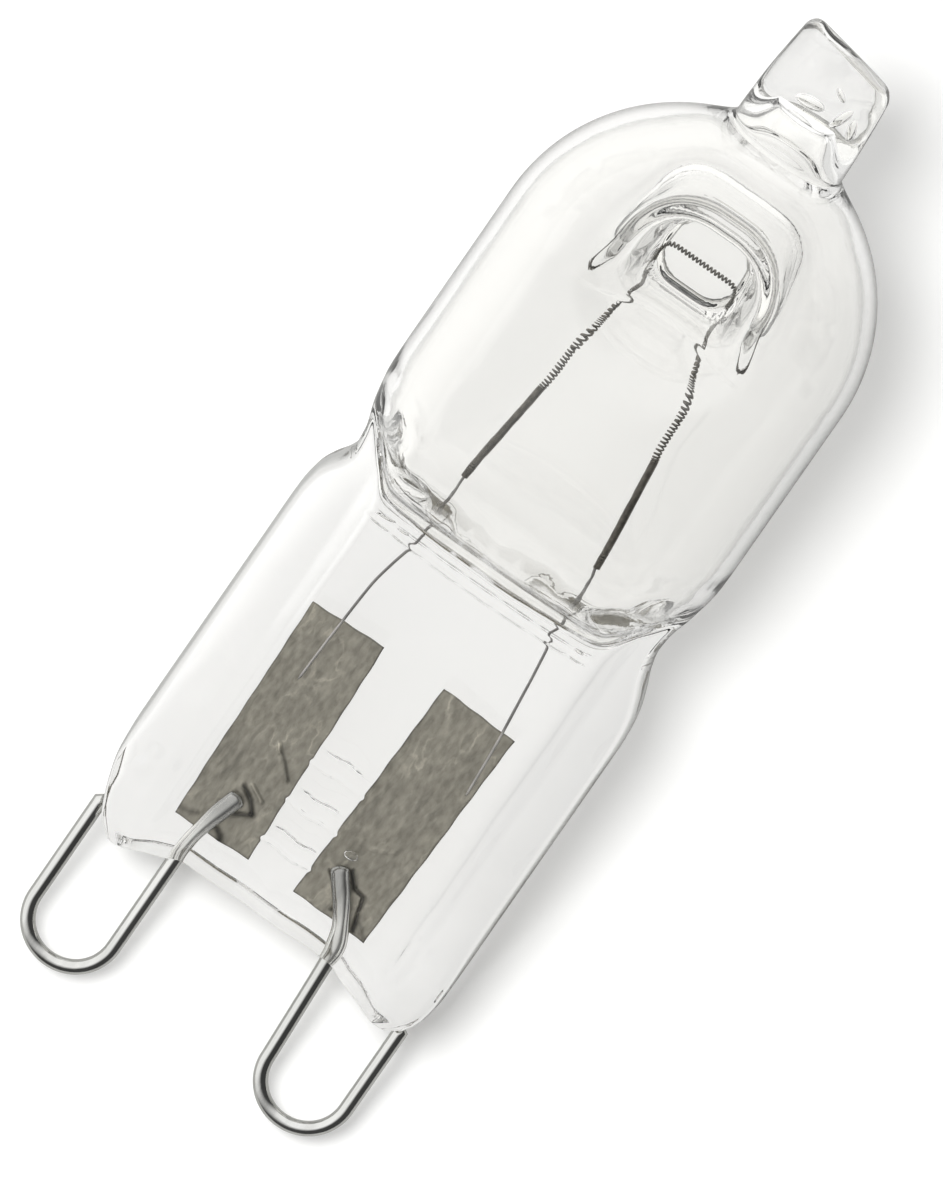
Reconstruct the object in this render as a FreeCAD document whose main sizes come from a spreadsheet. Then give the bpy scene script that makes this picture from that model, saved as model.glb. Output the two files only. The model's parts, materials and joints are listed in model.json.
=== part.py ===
"""Halogen capsule bulb with a two-loop base, lying on the feet of its seal and the bulb's shoulder.

Lengths are millimetres. Every piece is drawn in the lamp's own frame: x across the seal, y towards
the front, z along the axis from the loops' ends to the stub. One placement then lays the lamp down.
"""
import FreeCAD, Part
import math
import os
from types import SimpleNamespace

import Sketcher

SIZES = {
    # contact loops
    "contact_spacing": 9.0,     # between the middles of the two loops
    "loop_width": 3.0,          # between the two legs of one loop
    "loop_reach": 5.55,         # from the loops' ends to the web's lower edge
    "wire_dia": 0.5,
    "free_end_left": 0.95,      # how far each outer leg's free end stands above the feet's lower edge
    "free_end_right": 0.1,
    "lean_start": 0.15,         # above the web's lower edge, where the inner leg leans towards its foil
    "lean_length": 2.6,
    "lean_left": 0.58,          # how far over the inner leg leans
    "lean_right": 1.55,
    # press seal
    "seal_length": 14.15,       # from the web's lower edge to the waist
    "seal_flare": 0.75,         # how far the seal stands out past the waist on each side
    "web_thick": 2.4,
    "rail_thick": 4.0,
    "rail_width": 1.55,         # of the rail's full thickness
    "rail_slope": 0.45,         # width of the slope between web and rail
    "rail_crown": 0.08,         # rise of the rail's rounded face
    "rail_round": 0.7,
    "foot_drop": 0.8,           # how far the feet hang below the web
    "foot_round": 0.7,          # of the feet's lower edges
    "foot_overhang": 0.2,       # how far that rounding's tangent lies outside the rail's face
    "foot_slope": 1.5,          # width of the slope between the web's edge and a foot
    "foot_flat": 0.5,           # from the end of that slope to the rail's full thickness
    "corner_width_left": 1.4,   # of the rounded lower corners
    "corner_width_right": 1.05,
    "corner_height_left": 3.35,
    "corner_height_right": 1.55,
    "corner_round_left": 4.5,
    "corner_round_right": 1.4,
    "shoulder_length": 2.25,    # from the seal's straight sides to the waist
    # bulb
    "bulb_radius": 6.32,
    "bulb_length": 9.6,         # from the waist to the middle of the dome
    "wall": 1.0,
    "waist_depth": 0.52,
    "waist_length": 2.7,        # from the waist to the barrel
    "web_overlap": 1.55,        # from the flat web's upper end to the waist
    "taper_length": 6.6,        # from the flat web to the barrel
    "taper_rise": 0.05,         # how far the taper's curve runs past the barrel
    "taper_share": 0.8,         # part of the taper taken by its outer curve
    "waist_share": 0.3,         # part of the waist's curve that is hollow
    "shoulder_share": 0.6,      # part of the seal's shoulder that is round
    "gas_base": 0.6,            # from the flat web's upper end to the gas space
    "gas_corner": 0.7,
    # exhaust stub
    "stub_length": 3.5,         # on the axis, from the dome
    "stub_root": 1.1,           # how deep it starts inside the dome
    "stub_radius": 2.03,
    "stub_end_radius": 1.75,
    "stub_slant": 0.2,          # rise of the cut end per millimetre across
    "stub_thick": 3.7,
    "stub_end_thick": 2.0,
    "bore_radius": 0.95,
    "bore_end_radius": 0.45,
    "bore_length": 1.1,         # above the dome
    # dimples
    "dimple_rise": 1.6,         # above the middle of the dome
    "dimple_radius": 1.5,       # of the inner end
    "dimple_mouth": 3.4,        # at the bulb's skin
    "dimple_wall": 0.7,
    "dimple_round": 0.35,
    "dimple_gap": 0.02,         # between the filament's crossing and each dimple
    # filament
    "coil_dia": 0.3,
    "tail_dia": 0.26,
    "crossing_dia": 0.22,
    "crossing_half": 1.5,
    "crossing_bend": 0.4,
    "neck_drop": 1.95,          # from the crossing down to the legs' upper bend
    "kink_drop": 2.75,          # from the crossing down to the wide coil
    "kink_left": 1.74,
    "kink_right": 1.95,
    "tail_gap": 1.95,           # from the bottom of the gas space to the tail
    "tail_length": 3.8,
    "tail_left": 2.33,
    "tail_right": 2.67,
    # inner leads
    "lead_dia": 0.11,
    "lead_insert": 2.5,         # length of lead inside the filament's tail
    "bend_depth": 0.15,         # how deep the lead's bend lies below the gas space
    "bend_left": 0.09,          # how far the bend stands out past the filament's tail
    "bend_right": 0.07,
    "lead_lap": 2.4,            # how far the lead runs down over its foil
    "lead_left": 0.43,          # how far its end stands out past the foil's middle
    "lead_right": 1.24,
    # foils
    "foil_width": 2.78,
    "foil_length": 8.2,
    "foil_thick": 0.04,
    "foil_base": 1.1,           # above the web's lower edge
    "foil_left": 0.4,           # from the loop's inner leg in to the foil's middle
    "foil_right": 0.82,
    "foil_lean": 1.9,           # degrees, tops apart
    "weld_sink": 0.015,         # how deep a wire is pressed into a foil
}
OVERSHOOT = 1.5                 # how far a shaping outline runs past the piece that it shapes


class Size:
    """A number and the spreadsheet expression that gives it."""

    def __init__(self, value, text):
        self.value = value
        self.text = text

    def __add__(self, other):
        other = as_size(other)
        return Size(self.value + other.value, f"({self.text} + {other.text})")

    def __sub__(self, other):
        other = as_size(other)
        return Size(self.value - other.value, f"({self.text} - {other.text})")

    def __mul__(self, other):
        other = as_size(other)
        return Size(self.value * other.value, f"({self.text} * {other.text})")

    def __truediv__(self, other):
        other = as_size(other)
        return Size(self.value / other.value, f"({self.text} / {other.text})")

    def __neg__(self):
        return self * -1


def as_size(number):
    if isinstance(number, Size):
        return number
    return Size(number, repr(number))


def make_sheet(doc):
    sheet = doc.addObject("Spreadsheet::Sheet", "sizes")
    for row, (name, value) in enumerate(SIZES.items(), start=1):
        sheet.set(f"A{row}", name)
        sheet.set(f"B{row}", str(value))
        sheet.setAlias(f"B{row}", name)
    doc.recompute()
    return add_places(
        SimpleNamespace(**{name: Size(float(sheet.get(name)), f"sizes.{name}") for name in SIZES}))


def add_places(d):
    """Heights along the axis and distances from it that follow from the sizes."""
    d.foot_height = d.loop_reach - d.foot_drop
    d.waist_height = d.loop_reach + d.seal_length
    d.shoulder_height = d.waist_height - d.shoulder_length
    d.web_top = d.waist_height - d.web_overlap
    d.taper_height = d.web_top + d.taper_length
    d.barrel_height = d.waist_height + d.waist_length
    d.gas_height = d.web_top + d.gas_base
    d.dome_height = d.waist_height + d.bulb_length
    d.dome_top = d.dome_height + d.bulb_radius
    d.stub_top = d.dome_top + d.stub_length
    d.crossing_height = d.dome_height + d.dimple_rise
    d.kink_height = d.crossing_height - d.kink_drop
    d.tail_height = d.gas_height + d.tail_gap
    d.waist_radius = d.bulb_radius - d.waist_depth
    d.seal_half = d.waist_radius + d.seal_flare
    d.rail_inner = d.seal_half - d.rail_width
    d.web_half = d.rail_inner - d.rail_slope
    d.foil_height = d.loop_reach + d.foil_base + d.foil_length / 2
    d.inner_leg = (d.contact_spacing - d.loop_width) / 2
    return d


def on_side(d, name, side):
    return getattr(d, f"{name}_{side}")


def foil_middle(d, side):
    return d.inner_leg - on_side(d, "foil", side)


def loop_plane(d):
    """The leads and the filament lie at y 0, the foils behind them, the loops in front of the foils."""
    return (d.wire_dia - d.lead_dia) / 2


def foil_plane(d):
    return d.weld_sink - (d.lead_dia + d.foil_thick) / 2


def stub_corner_height(d):
    """Height of the cut end's highest corner, on the rear edge of the stub."""
    across = math.sqrt(d.stub_end_radius.value ** 2 - (d.stub_end_thick.value / 2) ** 2)
    return d.stub_top.value + d.stub_slant.value * across


def rest_supports(d):
    """What can touch the floor below the bulb, seen from the side: y, z and radius of its rounding."""
    wire = d.wire_dia.value / 2
    foot = d.foot_round.value
    rise = foot - math.sqrt(foot ** 2 - (foot - d.foot_overhang.value) ** 2)
    return [
        (loop_plane(d).value, wire, wire),
        (-d.rail_thick.value / 2, d.foot_height.value + rise, 0),
    ]


def tilt_on(d, support):
    """Tilt at which the bulb's lower shoulder and a support both touch the floor."""
    y, z, radius = support
    curve = taper_radii(d)[0].value
    rise = d.taper_height.value - z
    drop = curve - d.bulb_radius.value - d.taper_rise.value - y
    return math.asin((curve - radius) / math.hypot(rise, drop)) - math.atan2(drop, rise)


def rest_placement(d):
    """Lay the lamp on its shoulder and the support that touches first, its box centred at the origin."""
    support = min(rest_supports(d), key=lambda item: tilt_on(d, item))
    tilt = tilt_on(d, support)
    sine, cosine = math.sin(tilt), math.cos(tilt)
    floor = support[0] * cosine + support[1] * sine - support[2]
    wire = d.wire_dia.value / 2
    near = wire * cosine - loop_plane(d).value * sine - wire
    far = stub_corner_height(d) * cosine + d.stub_end_thick.value / 2 * sine
    turn = FreeCAD.Rotation(
        FreeCAD.Vector(0, 1, 0), FreeCAD.Vector(-sine, 0, cosine), FreeCAD.Vector(cosine, 0, sine), "ZXY")
    return FreeCAD.Placement(FreeCAD.Vector(-(near + far) / 2, 0, -floor), turn)


def new_body(doc, label, placement):
    body = doc.addObject("PartDesign::Body", label)
    body.Label = label
    body.Placement = placement
    return body


def new_sketch(body, plane, name):
    sketch = body.newObject("Sketcher::SketchObject", f"{body.Name}_{name}")
    support = [feature for feature in body.Origin.OriginFeatures if feature.Role == plane]
    sketch.AttachmentSupport = [(support[0], "")]
    sketch.MapMode = "FlatFace"
    return sketch


def line_edge(start, end):
    return Part.LineSegment(FreeCAD.Vector(*start), FreeCAD.Vector(*end)), 1, 2


def arc_edge(start, end, side, radius):
    """An arc of less than half a turn, its centre to the left (1) or right (-1) of the way along it."""
    dx, dy = end[0] - start[0], end[1] - start[1]
    chord = math.hypot(dx, dy)
    offset = side * math.sqrt(radius ** 2 - chord ** 2 / 4) / chord
    centre = FreeCAD.Vector((start[0] + end[0]) / 2 - dy * offset, (start[1] + end[1]) / 2 + dx * offset)
    first = math.atan2(start[1] - centre.y, start[0] - centre.x)
    last = math.atan2(end[1] - centre.y, end[0] - centre.x)
    circle = Part.Circle(centre, FreeCAD.Vector(0, 0, 1), radius)
    if side > 0:
        return Part.ArcOfCircle(circle, first, last), 1, 2
    return Part.ArcOfCircle(circle, last, first), 2, 1


def pin_coordinate(sketch, kind, geometry, end, size):
    if size.text == "0":
        axis = -2 if kind == "DistanceX" else -1
        sketch.addConstraint(Sketcher.Constraint("PointOnObject", geometry, end, axis))
        return
    index = sketch.addConstraint(Sketcher.Constraint(kind, -1, 1, geometry, end, size.value))
    sketch.setExpression(f"Constraints[{index}]", size.text)


def pin_point(sketch, geometry, end, corner):
    pin_coordinate(sketch, "DistanceX", geometry, end, corner[0])
    pin_coordinate(sketch, "DistanceY", geometry, end, corner[1])


def draw(sketch, corners, closed=True):
    """Draw corners (x, y, bend). A bend is None for a line or (side, radius) for an arc to the next."""
    corners = [(as_size(x), as_size(y), bend) for x, y, bend in corners]
    count = len(corners) if closed else len(corners) - 1
    ends = []
    for index in range(count):
        here, there = corners[index], corners[(index + 1) % len(corners)]
        start, end = (here[0].value, here[1].value), (there[0].value, there[1].value)
        bend = here[2]
        if bend is None:
            edge, first, last = line_edge(start, end)
        else:
            edge, first, last = arc_edge(start, end, bend[0], bend[1].value)
        geometry = sketch.addGeometry(edge, False)
        ends.append((geometry, first, last))
        pin_point(sketch, geometry, first, here)
        if bend is not None:
            radius = sketch.addConstraint(Sketcher.Constraint("Radius", geometry, bend[1].value))
            sketch.setExpression(f"Constraints[{radius}]", bend[1].text)
    join_edges(sketch, ends, closed)
    if not closed:
        pin_point(sketch, ends[-1][0], ends[-1][2], corners[-1])


def join_edges(sketch, ends, closed):
    for index, (geometry, _, last) in enumerate(ends):
        if index == len(ends) - 1 and not closed:
            return
        following = ends[(index + 1) % len(ends)]
        sketch.addConstraint(Sketcher.Constraint("Coincident", geometry, last, following[0], following[1]))


def turned_back(corners):
    """The corners in the other order, with every bend kept on its own edge."""
    back = list(reversed(corners))
    bends = [bend for _, _, bend in back[1:]] + [None]
    return [(x, y, bend) for (x, y, _), bend in zip(back, bends)]


def curve_radius(across, along):
    """Sum of the two radii of an S-shaped curve that leaves and arrives along the axis."""
    return (across * across + along * along) / (across * 2)


def s_curve(start, end, across, along, share, sides):
    """Two tangent arcs from start to end; share is the first arc's part of the way."""
    total = curve_radius(across, along)
    middle = (start[0] + (end[0] - start[0]) * share, start[1] + (end[1] - start[1]) * share)
    rest = as_size(1) - share
    return [
        (start[0], start[1], (sides[0], total * share)),
        (middle[0], middle[1], (sides[1], total * rest)),
    ]


def pad(body, sketch, length, symmetric):
    feature = body.newObject("PartDesign::Pad", f"{body.Name}_pad")
    feature.Profile = sketch
    feature.SideType = "Symmetric" if symmetric else "One side"
    feature.setExpression("Length", as_size(length).text)
    sketch.Visibility = False
    return body


def revolve(body, sketch):
    feature = body.newObject("PartDesign::Revolution", f"{body.Name}_revolution")
    feature.Profile = sketch
    feature.ReferenceAxis = (sketch, ["V_Axis"])
    feature.Angle = 360
    sketch.Visibility = False
    return body


def pipe(body, corners, diameter, name="pipe"):
    """A round rod of one diameter along an open path in the body's xz plane."""
    path = new_sketch(body, "XZ_Plane", f"{name}_path")
    draw(path, corners, closed=False)
    body.Document.recompute()
    ring = body.newObject("Sketcher::SketchObject", f"{body.Name}_{name}_ring")
    ring.AttachmentSupport = [(path, "Edge1")]
    ring.MapMode = "NormalToEdge"
    ring.MapPathParameter = 0
    circle = Part.Circle(FreeCAD.Vector(0, 0, 0), FreeCAD.Vector(0, 0, 1), diameter.value / 2)
    ring.addGeometry(circle, False)
    ring.addConstraint(Sketcher.Constraint("Coincident", 0, 3, -1, 1))
    size = ring.addConstraint(Sketcher.Constraint("Diameter", 0, diameter.value))
    ring.setExpression(f"Constraints[{size}]", diameter.text)
    feature = body.newObject("PartDesign::AdditivePipe", f"{body.Name}_{name}")
    feature.Profile = ring
    feature.Spine = (path, [f"Edge{number}" for number in range(1, len(corners))])
    feature.Transition = "Right corner"
    return body


def boolean(doc, kind, name, shapes):
    feature = doc.addObject(f"Part::{kind}", name)
    feature.Label = name
    feature.Shapes = shapes
    return feature


def cut(doc, name, base, tools):
    """Take the tools from the base one after another; the last result carries the name."""
    for index, tool in enumerate(tools, start=1):
        feature = doc.addObject("Part::Cut", name if index == len(tools) else f"{name}_cut_{index}")
        feature.Base = base
        feature.Tool = tool
        base = feature
    base.Label = name
    return base


def taper_radii(d):
    """Outer and inner radius of the curve by which the flat web opens into the round bulb."""
    across = d.bulb_radius + d.taper_rise - d.web_thick / 2
    total = curve_radius(across, d.taper_length)
    return total * d.taper_share, total * (as_size(1) - d.taper_share)


def taper_half(d, inset, sign):
    """One side of the flattened shape, from the web up to the barrel, as corners of an outline."""
    edge = d.bulb_radius + d.taper_rise
    outer, inner = taper_radii(d)
    web = d.web_thick / 2
    turn_y = edge + (web - edge) * d.taper_share
    turn_z = d.taper_height + (d.web_top - d.taper_height) * d.taper_share
    lean_y = (edge - outer - turn_y) / outer * inset
    lean_z = (d.taper_height - turn_z) / outer * inset
    corners = [
        (web - inset, d.web_top, (-1, inner + inset)),
        (turn_y + lean_y, turn_z + lean_z, (1, outer - inset)),
        (edge - inset, d.taper_height, None),
        (edge - inset, d.stub_top, None),
    ]
    if sign > 0:
        return corners
    return [(-y, z, bend) for y, z, bend in turned_back(corners)]


def flattened(doc, d, label, placement, inset, base):
    """The bulb's side view, drawn inset from its skin, as a wide extrusion."""
    body = new_body(doc, label, placement)
    sketch = new_sketch(body, "YZ_Plane", "outline")
    half = d.web_thick / 2 - inset
    corners = [(-half, base, None), (half, base, None)]
    corners += taper_half(d, inset, 1) + taper_half(d, inset, -1)
    draw(sketch, corners)
    return pad(body, sketch, d.bulb_radius * 2 * OVERSHOOT, True)


def bulb_skin(doc, d, placement):
    """Front view of the bulb turned about the axis."""
    body = new_body(doc, "bulb_round", placement)
    sketch = new_sketch(body, "XZ_Plane", "outline")
    base = d.web_top - d.wall / 2
    waist = (d.waist_radius, d.waist_height)
    barrel = (d.bulb_radius, d.barrel_height)
    across, along = d.waist_depth, d.waist_length
    corners = [(0, base, None), (d.waist_radius, base, None)]
    corners += s_curve(waist, barrel, across, along, d.waist_share, (-1, 1))
    corners += [
        (d.bulb_radius, d.barrel_height, None),
        (d.bulb_radius, d.dome_height, (1, d.bulb_radius)),
        (0, d.dome_top, None),
    ]
    draw(sketch, corners)
    return revolve(body, sketch)


def gas_round(doc, d, placement):
    """Front view of the gas space turned about the axis, with the sealed bore of the stub."""
    body = new_body(doc, "gas_round", placement)
    sketch = new_sketch(body, "XZ_Plane", "outline")
    radius = d.bulb_radius - d.wall
    neck = d.waist_radius - d.wall
    across, along = d.waist_depth, d.waist_length
    crown = math.sqrt(radius.value ** 2 - d.bore_radius.value ** 2)
    crown = Size(d.dome_height.value + crown,
                 f"({d.dome_height.text} + sqrt({radius.text} ^ 2 - {d.bore_radius.text} ^ 2))")
    corners = [
        (0, d.gas_height, None),
        (neck - d.gas_corner, d.gas_height, (1, d.gas_corner)),
        (neck, d.gas_height + d.gas_corner, None),
    ]
    corners += s_curve(
        (neck, d.waist_height), (radius, d.barrel_height), across, along, d.waist_share, (-1, 1))
    corners += [
        (radius, d.barrel_height, None),
        (radius, d.dome_height, (1, radius)),
        (d.bore_radius, crown, None),
        (d.bore_end_radius, d.dome_top + d.bore_length, None),
        (0, d.dome_top + d.bore_length, None),
    ]
    draw(sketch, corners)
    return revolve(body, sketch)


def dimple_placement(d, placement, facing):
    turn = FreeCAD.Rotation(FreeCAD.Vector(1, 0, 0), -90 * facing)
    return placement.multiply(FreeCAD.Placement(FreeCAD.Vector(0, 0, d.crossing_height.value), turn))


def dimple(doc, d, placement, facing, inset, label):
    """A blunt cone through the bulb's wall: the glass finger, or with an inset the dent in it."""
    body = new_body(doc, label, dimple_placement(d, placement, facing))
    sketch = new_sketch(body, "XZ_Plane", "outline")
    end = d.crossing_dia / 2 + d.dimple_gap + inset
    slope = (d.dimple_mouth - d.dimple_radius) / d.bulb_radius
    radius = d.dimple_radius - inset
    outside = d.bulb_radius * OVERSHOOT
    corners = [
        (0, end, None),
        (radius - d.dimple_round, end, (1, d.dimple_round)),
        (radius, end + d.dimple_round, None),
        (radius + slope * (outside - end), outside, None),
        (0, outside, None),
    ]
    draw(sketch, corners)
    return revolve(body, sketch)


def seal_section(doc, d, placement):
    """The web with its two thicker rails, drawn across the axis."""
    body = new_body(doc, "seal_section", placement)
    sketch = new_sketch(body, "XY_Plane", "outline")
    rail, bend = d.rail_thick / 2, d.rail_round
    low, end = rail - d.rail_crown, d.seal_half - bend
    half = (end - d.rail_inner) / 2
    crown = (1, curve_radius(d.rail_crown, half))
    quarter = [
        (d.web_half, -d.web_thick / 2, None),
        (d.rail_inner, -low, crown),
        (d.rail_inner + half, -rail, crown),
        (end, -low, (1, bend)),
        (d.seal_half, bend - low, None),
    ]
    back = turned_back(quarter)
    corners = quarter + [(x, -y, arc) for x, y, arc in back]
    corners += [(-x, -y, arc) for x, y, arc in quarter] + [(-x, y, arc) for x, y, arc in back]
    draw(sketch, corners)
    return pad(body, sketch, d.waist_height, False)


def seal_side(d, side):
    """The seal's outline on one side, drawn at +x, from the web's lower edge up to the waist."""
    width, height = on_side(d, "corner_width", side), on_side(d, "corner_height", side)
    slope_end = d.rail_inner - d.foot_flat
    corners = [
        (slope_end - d.foot_slope, d.loop_reach, None),
        (slope_end, d.foot_height, None),
        (d.seal_half - width, d.foot_height, (1, on_side(d, "corner_round", side))),
        (d.seal_half, d.foot_height + height, None),
    ]
    corners += s_curve((d.seal_half, d.shoulder_height), (d.waist_radius, d.waist_height),
                       d.seal_flare, d.shoulder_length, d.shoulder_share, (1, -1))
    corners.append((d.waist_radius, d.waist_height, None))
    return corners


def seal_front(doc, d, placement):
    """Front view of the seal: feet, straight sides and shoulders."""
    body = new_body(doc, "seal_front", placement)
    sketch = new_sketch(body, "XZ_Plane", "outline")
    right = [(-x, z, bend) for x, z, bend in turned_back(seal_side(d, "right"))]
    draw(sketch, seal_side(d, "left") + right)
    return pad(body, sketch, d.rail_thick * OVERSHOOT, True)


def seal_depth(doc, d, placement):
    """Side view of the seal, with the feet's lower edges rounded."""
    body = new_body(doc, "seal_depth", placement)
    sketch = new_sketch(body, "YZ_Plane", "outline")
    half, bend = d.rail_thick / 2 + d.foot_overhang, d.foot_round
    draw(sketch, [
        (bend - half, d.foot_height, None),
        (half - bend, d.foot_height, (1, bend)),
        (half, d.foot_height + bend, None),
        (half, d.waist_height, None),
        (-half, d.waist_height, None),
        (-half, d.foot_height + bend, (1, bend)),
    ])
    return pad(body, sketch, d.seal_half * 2 * OVERSHOOT, True)


def stub_heights(d):
    """Where the stub starts inside the dome, and a height clear of its slanting end."""
    return d.dome_top - d.stub_root, d.stub_top + d.stub_slant * d.stub_radius * OVERSHOOT


def stub_round(doc, d, placement):
    body = new_body(doc, "stub_round", placement)
    sketch = new_sketch(body, "XZ_Plane", "outline")
    root_height, end = stub_heights(d)
    draw(sketch, [
        (0, root_height, None),
        (d.stub_radius, root_height, None),
        (d.stub_end_radius, d.stub_top, None),
        (d.stub_end_radius, end, None),
        (0, end, None),
    ])
    return revolve(body, sketch)


def stub_side(doc, d, placement):
    """Side view of the stub, pressed flat towards its end."""
    body = new_body(doc, "stub_side", placement)
    sketch = new_sketch(body, "YZ_Plane", "outline")
    root, end = d.stub_thick / 2, d.stub_end_thick / 2
    root_height, top = stub_heights(d)
    draw(sketch, [
        (-root, root_height, None),
        (root, root_height, None),
        (end, d.stub_top, None),
        (end, top, None),
        (-end, top, None),
        (-end, d.stub_top, None),
    ])
    return pad(body, sketch, d.stub_radius * 2 * OVERSHOOT, True)


def stub_front(doc, d, placement):
    """Front view of the stub with its slanting cut end."""
    body = new_body(doc, "stub_front", placement)
    sketch = new_sketch(body, "XZ_Plane", "outline")
    wide = d.stub_radius * OVERSHOOT
    root_height, _ = stub_heights(d)
    draw(sketch, [
        (-wide, root_height, None),
        (wide, root_height, None),
        (wide, d.stub_top + d.stub_slant * wide, None),
        (-wide, d.stub_top - d.stub_slant * wide, None),
    ])
    return pad(body, sketch, d.stub_radius * 2 * OVERSHOOT, True)


def glass_blank(doc, d, placement):
    bulb = boolean(doc, "MultiCommon", "bulb", [
        bulb_skin(doc, d, placement),
        flattened(doc, d, "bulb_flat", placement, as_size(0), d.web_top - d.wall / 2),
    ])
    seal = boolean(doc, "MultiCommon", "seal", [
        seal_section(doc, d, placement), seal_front(doc, d, placement), seal_depth(doc, d, placement)])
    stub = boolean(doc, "MultiCommon", "stub", [
        stub_round(doc, d, placement), stub_side(doc, d, placement), stub_front(doc, d, placement)])
    return boolean(doc, "MultiFuse", "glass_blank", [bulb, seal, stub])


def gas_space(doc, d, placement):
    gas = boolean(doc, "MultiCommon", "gas", [
        gas_round(doc, d, placement),
        flattened(doc, d, "gas_flat", placement, d.wall, d.web_top - d.wall / 2),
    ])
    fingers = [dimple(doc, d, placement, facing, as_size(0), f"finger_{side}")
               for side, facing in (("front", 1), ("rear", -1))]
    return cut(doc, "gas_space", gas, fingers)


def contact_loop(doc, d, placement, side, sign):
    """One wire loop: free outer leg, round bend, inner leg that leans over to the foil."""
    plane = FreeCAD.Placement(FreeCAD.Vector(0, loop_plane(d).value, 0), FreeCAD.Rotation())
    body = new_body(doc, f"contact_loop_{side}", placement.multiply(plane))
    lean = on_side(d, "lean", side)
    bend = d.loop_width / 2
    outer = d.inner_leg + d.loop_width
    centre = bend + d.wire_dia / 2
    lean_height = d.loop_reach + d.lean_start
    corners = [
        (outer, d.foot_height + on_side(d, "free_end", side), None),
        (outer, centre, (-1, bend)),
        (d.contact_spacing / 2, d.wire_dia / 2, (-1, bend)),
        (d.inner_leg, centre, None),
        (d.inner_leg, lean_height, (1, curve_radius(lean, d.lean_length))),
        (d.inner_leg - lean, lean_height + d.lean_length, None),
    ]
    return pipe(body, mirrored(corners, sign), d.wire_dia)


def mirrored(corners, sign):
    if sign > 0:
        return corners
    return [(-as_size(x), z, bend and (-bend[0], bend[1])) for x, z, bend in corners]


def leg_point(d, side, up):
    """A point on the axis of a filament leg, a given way above the tail's lower end."""
    tail, kink = on_side(d, "tail", side), on_side(d, "kink", side)
    slope = (kink - tail) / (d.kink_height - d.tail_height)
    return tail + slope * up, d.tail_height + up


def inner_lead(doc, d, placement, side, sign):
    body = new_body(doc, f"inner_lead_{side}", placement)
    tail = on_side(d, "tail", side)
    end = foil_middle(d, side) + on_side(d, "lead", side)
    corners = [
        (*leg_point(d, side, d.lead_insert), None),
        (tail, d.tail_height, None),
        (tail + on_side(d, "bend", side), d.gas_height - d.bend_depth, None),
        (end, d.foil_height + d.foil_length / 2 - d.lead_lap, None),
    ]
    return pipe(body, mirrored(corners, sign), d.lead_dia)


def filament_crossing(doc, d, placement):
    """The plain upper part, from one leg's kink over the dimples to the other's."""
    body = new_body(doc, "filament_crossing", placement)
    half, bend, top = d.crossing_half, d.crossing_bend, d.crossing_height
    neck = top - d.neck_drop
    corners = [
        (d.kink_left, d.kink_height, None),
        (half, neck, None),
        (half, top - bend, (1, bend)),
        (half - bend, top, None),
        (bend - half, top, (1, bend)),
        (-half, top - bend, None),
        (-half, neck, None),
        (-d.kink_right, d.kink_height, None),
    ]
    return pipe(body, corners, d.crossing_dia)


def filament_leg(doc, d, placement, side, sign):
    """The wide coil and, below it, the tail that holds the lead."""
    pieces = []
    top = d.kink_height - d.tail_height
    for name, low, high, diameter in (
            ("coil", d.tail_length, top, d.coil_dia), ("tail", as_size(0), d.tail_length, d.tail_dia)):
        body = new_body(doc, f"filament_{name}_{side}", placement)
        corners = [(*leg_point(d, side, low), None), (*leg_point(d, side, high), None)]
        pieces.append(pipe(body, mirrored(corners, sign), diameter))
    return pieces


def seal_foil(doc, d, placement, side, sign, wires):
    box = doc.addObject("Part::Box", f"foil_strip_{side}")
    box.setExpression("Length", d.foil_width.text)
    box.setExpression("Width", d.foil_thick.text)
    box.setExpression("Height", d.foil_length.text)
    half = FreeCAD.Vector(d.foil_width.value / 2, d.foil_thick.value / 2, d.foil_length.value / 2)
    lean = FreeCAD.Rotation(FreeCAD.Vector(0, 1, 0), sign * d.foil_lean.value)
    middle = FreeCAD.Vector(sign * foil_middle(d, side).value, foil_plane(d).value, d.foil_height.value)
    at = FreeCAD.Placement(middle, lean).multiply(FreeCAD.Placement(-half, FreeCAD.Rotation()))
    box.Placement = placement.multiply(at)
    return cut(doc, f"seal_foil_{side}", box, wires)


def build(doc):
    d = make_sheet(doc)
    placement = rest_placement(d)
    loops, leads, foils, legs = [], [], [], []
    for side, sign in (("left", 1), ("right", -1)):
        loops.append(contact_loop(doc, d, placement, side, sign))
        leads.append(inner_lead(doc, d, placement, side, sign))
        legs += filament_leg(doc, d, placement, side, sign)
        foils.append(seal_foil(doc, d, placement, side, sign, [loops[-1], leads[-1]]))
    coil = boolean(doc, "MultiFuse", "filament_blank", [filament_crossing(doc, d, placement)] + legs)
    filament = cut(doc, "filament", coil, leads)
    dents = [dimple(doc, d, placement, facing, d.dimple_wall, f"dent_{side}")
             for side, facing in (("front", 1), ("rear", -1))]
    glass = cut(doc, "glass_envelope", glass_blank(doc, d, placement),
                dents + [gas_space(doc, d, placement)] + loops + leads + foils)
    doc.recompute()
    return [glass, filament] + leads + foils + loops


def check(doc, parts):
    for item in doc.Objects:
        if "Invalid" in item.State or "Error" in item.State:
            raise RuntimeError(f"{item.Label} did not build: {item.State}")
    for part in parts:
        if part.Shape.isNull() or not part.Shape.isValid():
            raise RuntimeError(f"{part.Label} has no valid shape")


def main():
    doc = FreeCAD.newDocument("halogen_capsule_bulb")
    parts = build(doc)
    check(doc, parts)
    os.makedirs("parts", exist_ok=True)
    for part in parts:
        part.Shape.exportStep(f"parts/{part.Label}.step")


main()
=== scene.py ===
import json
import math

import bpy
import numpy as np
from mathutils import Matrix, Vector
from mathutils.noise import noise as perlin


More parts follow.
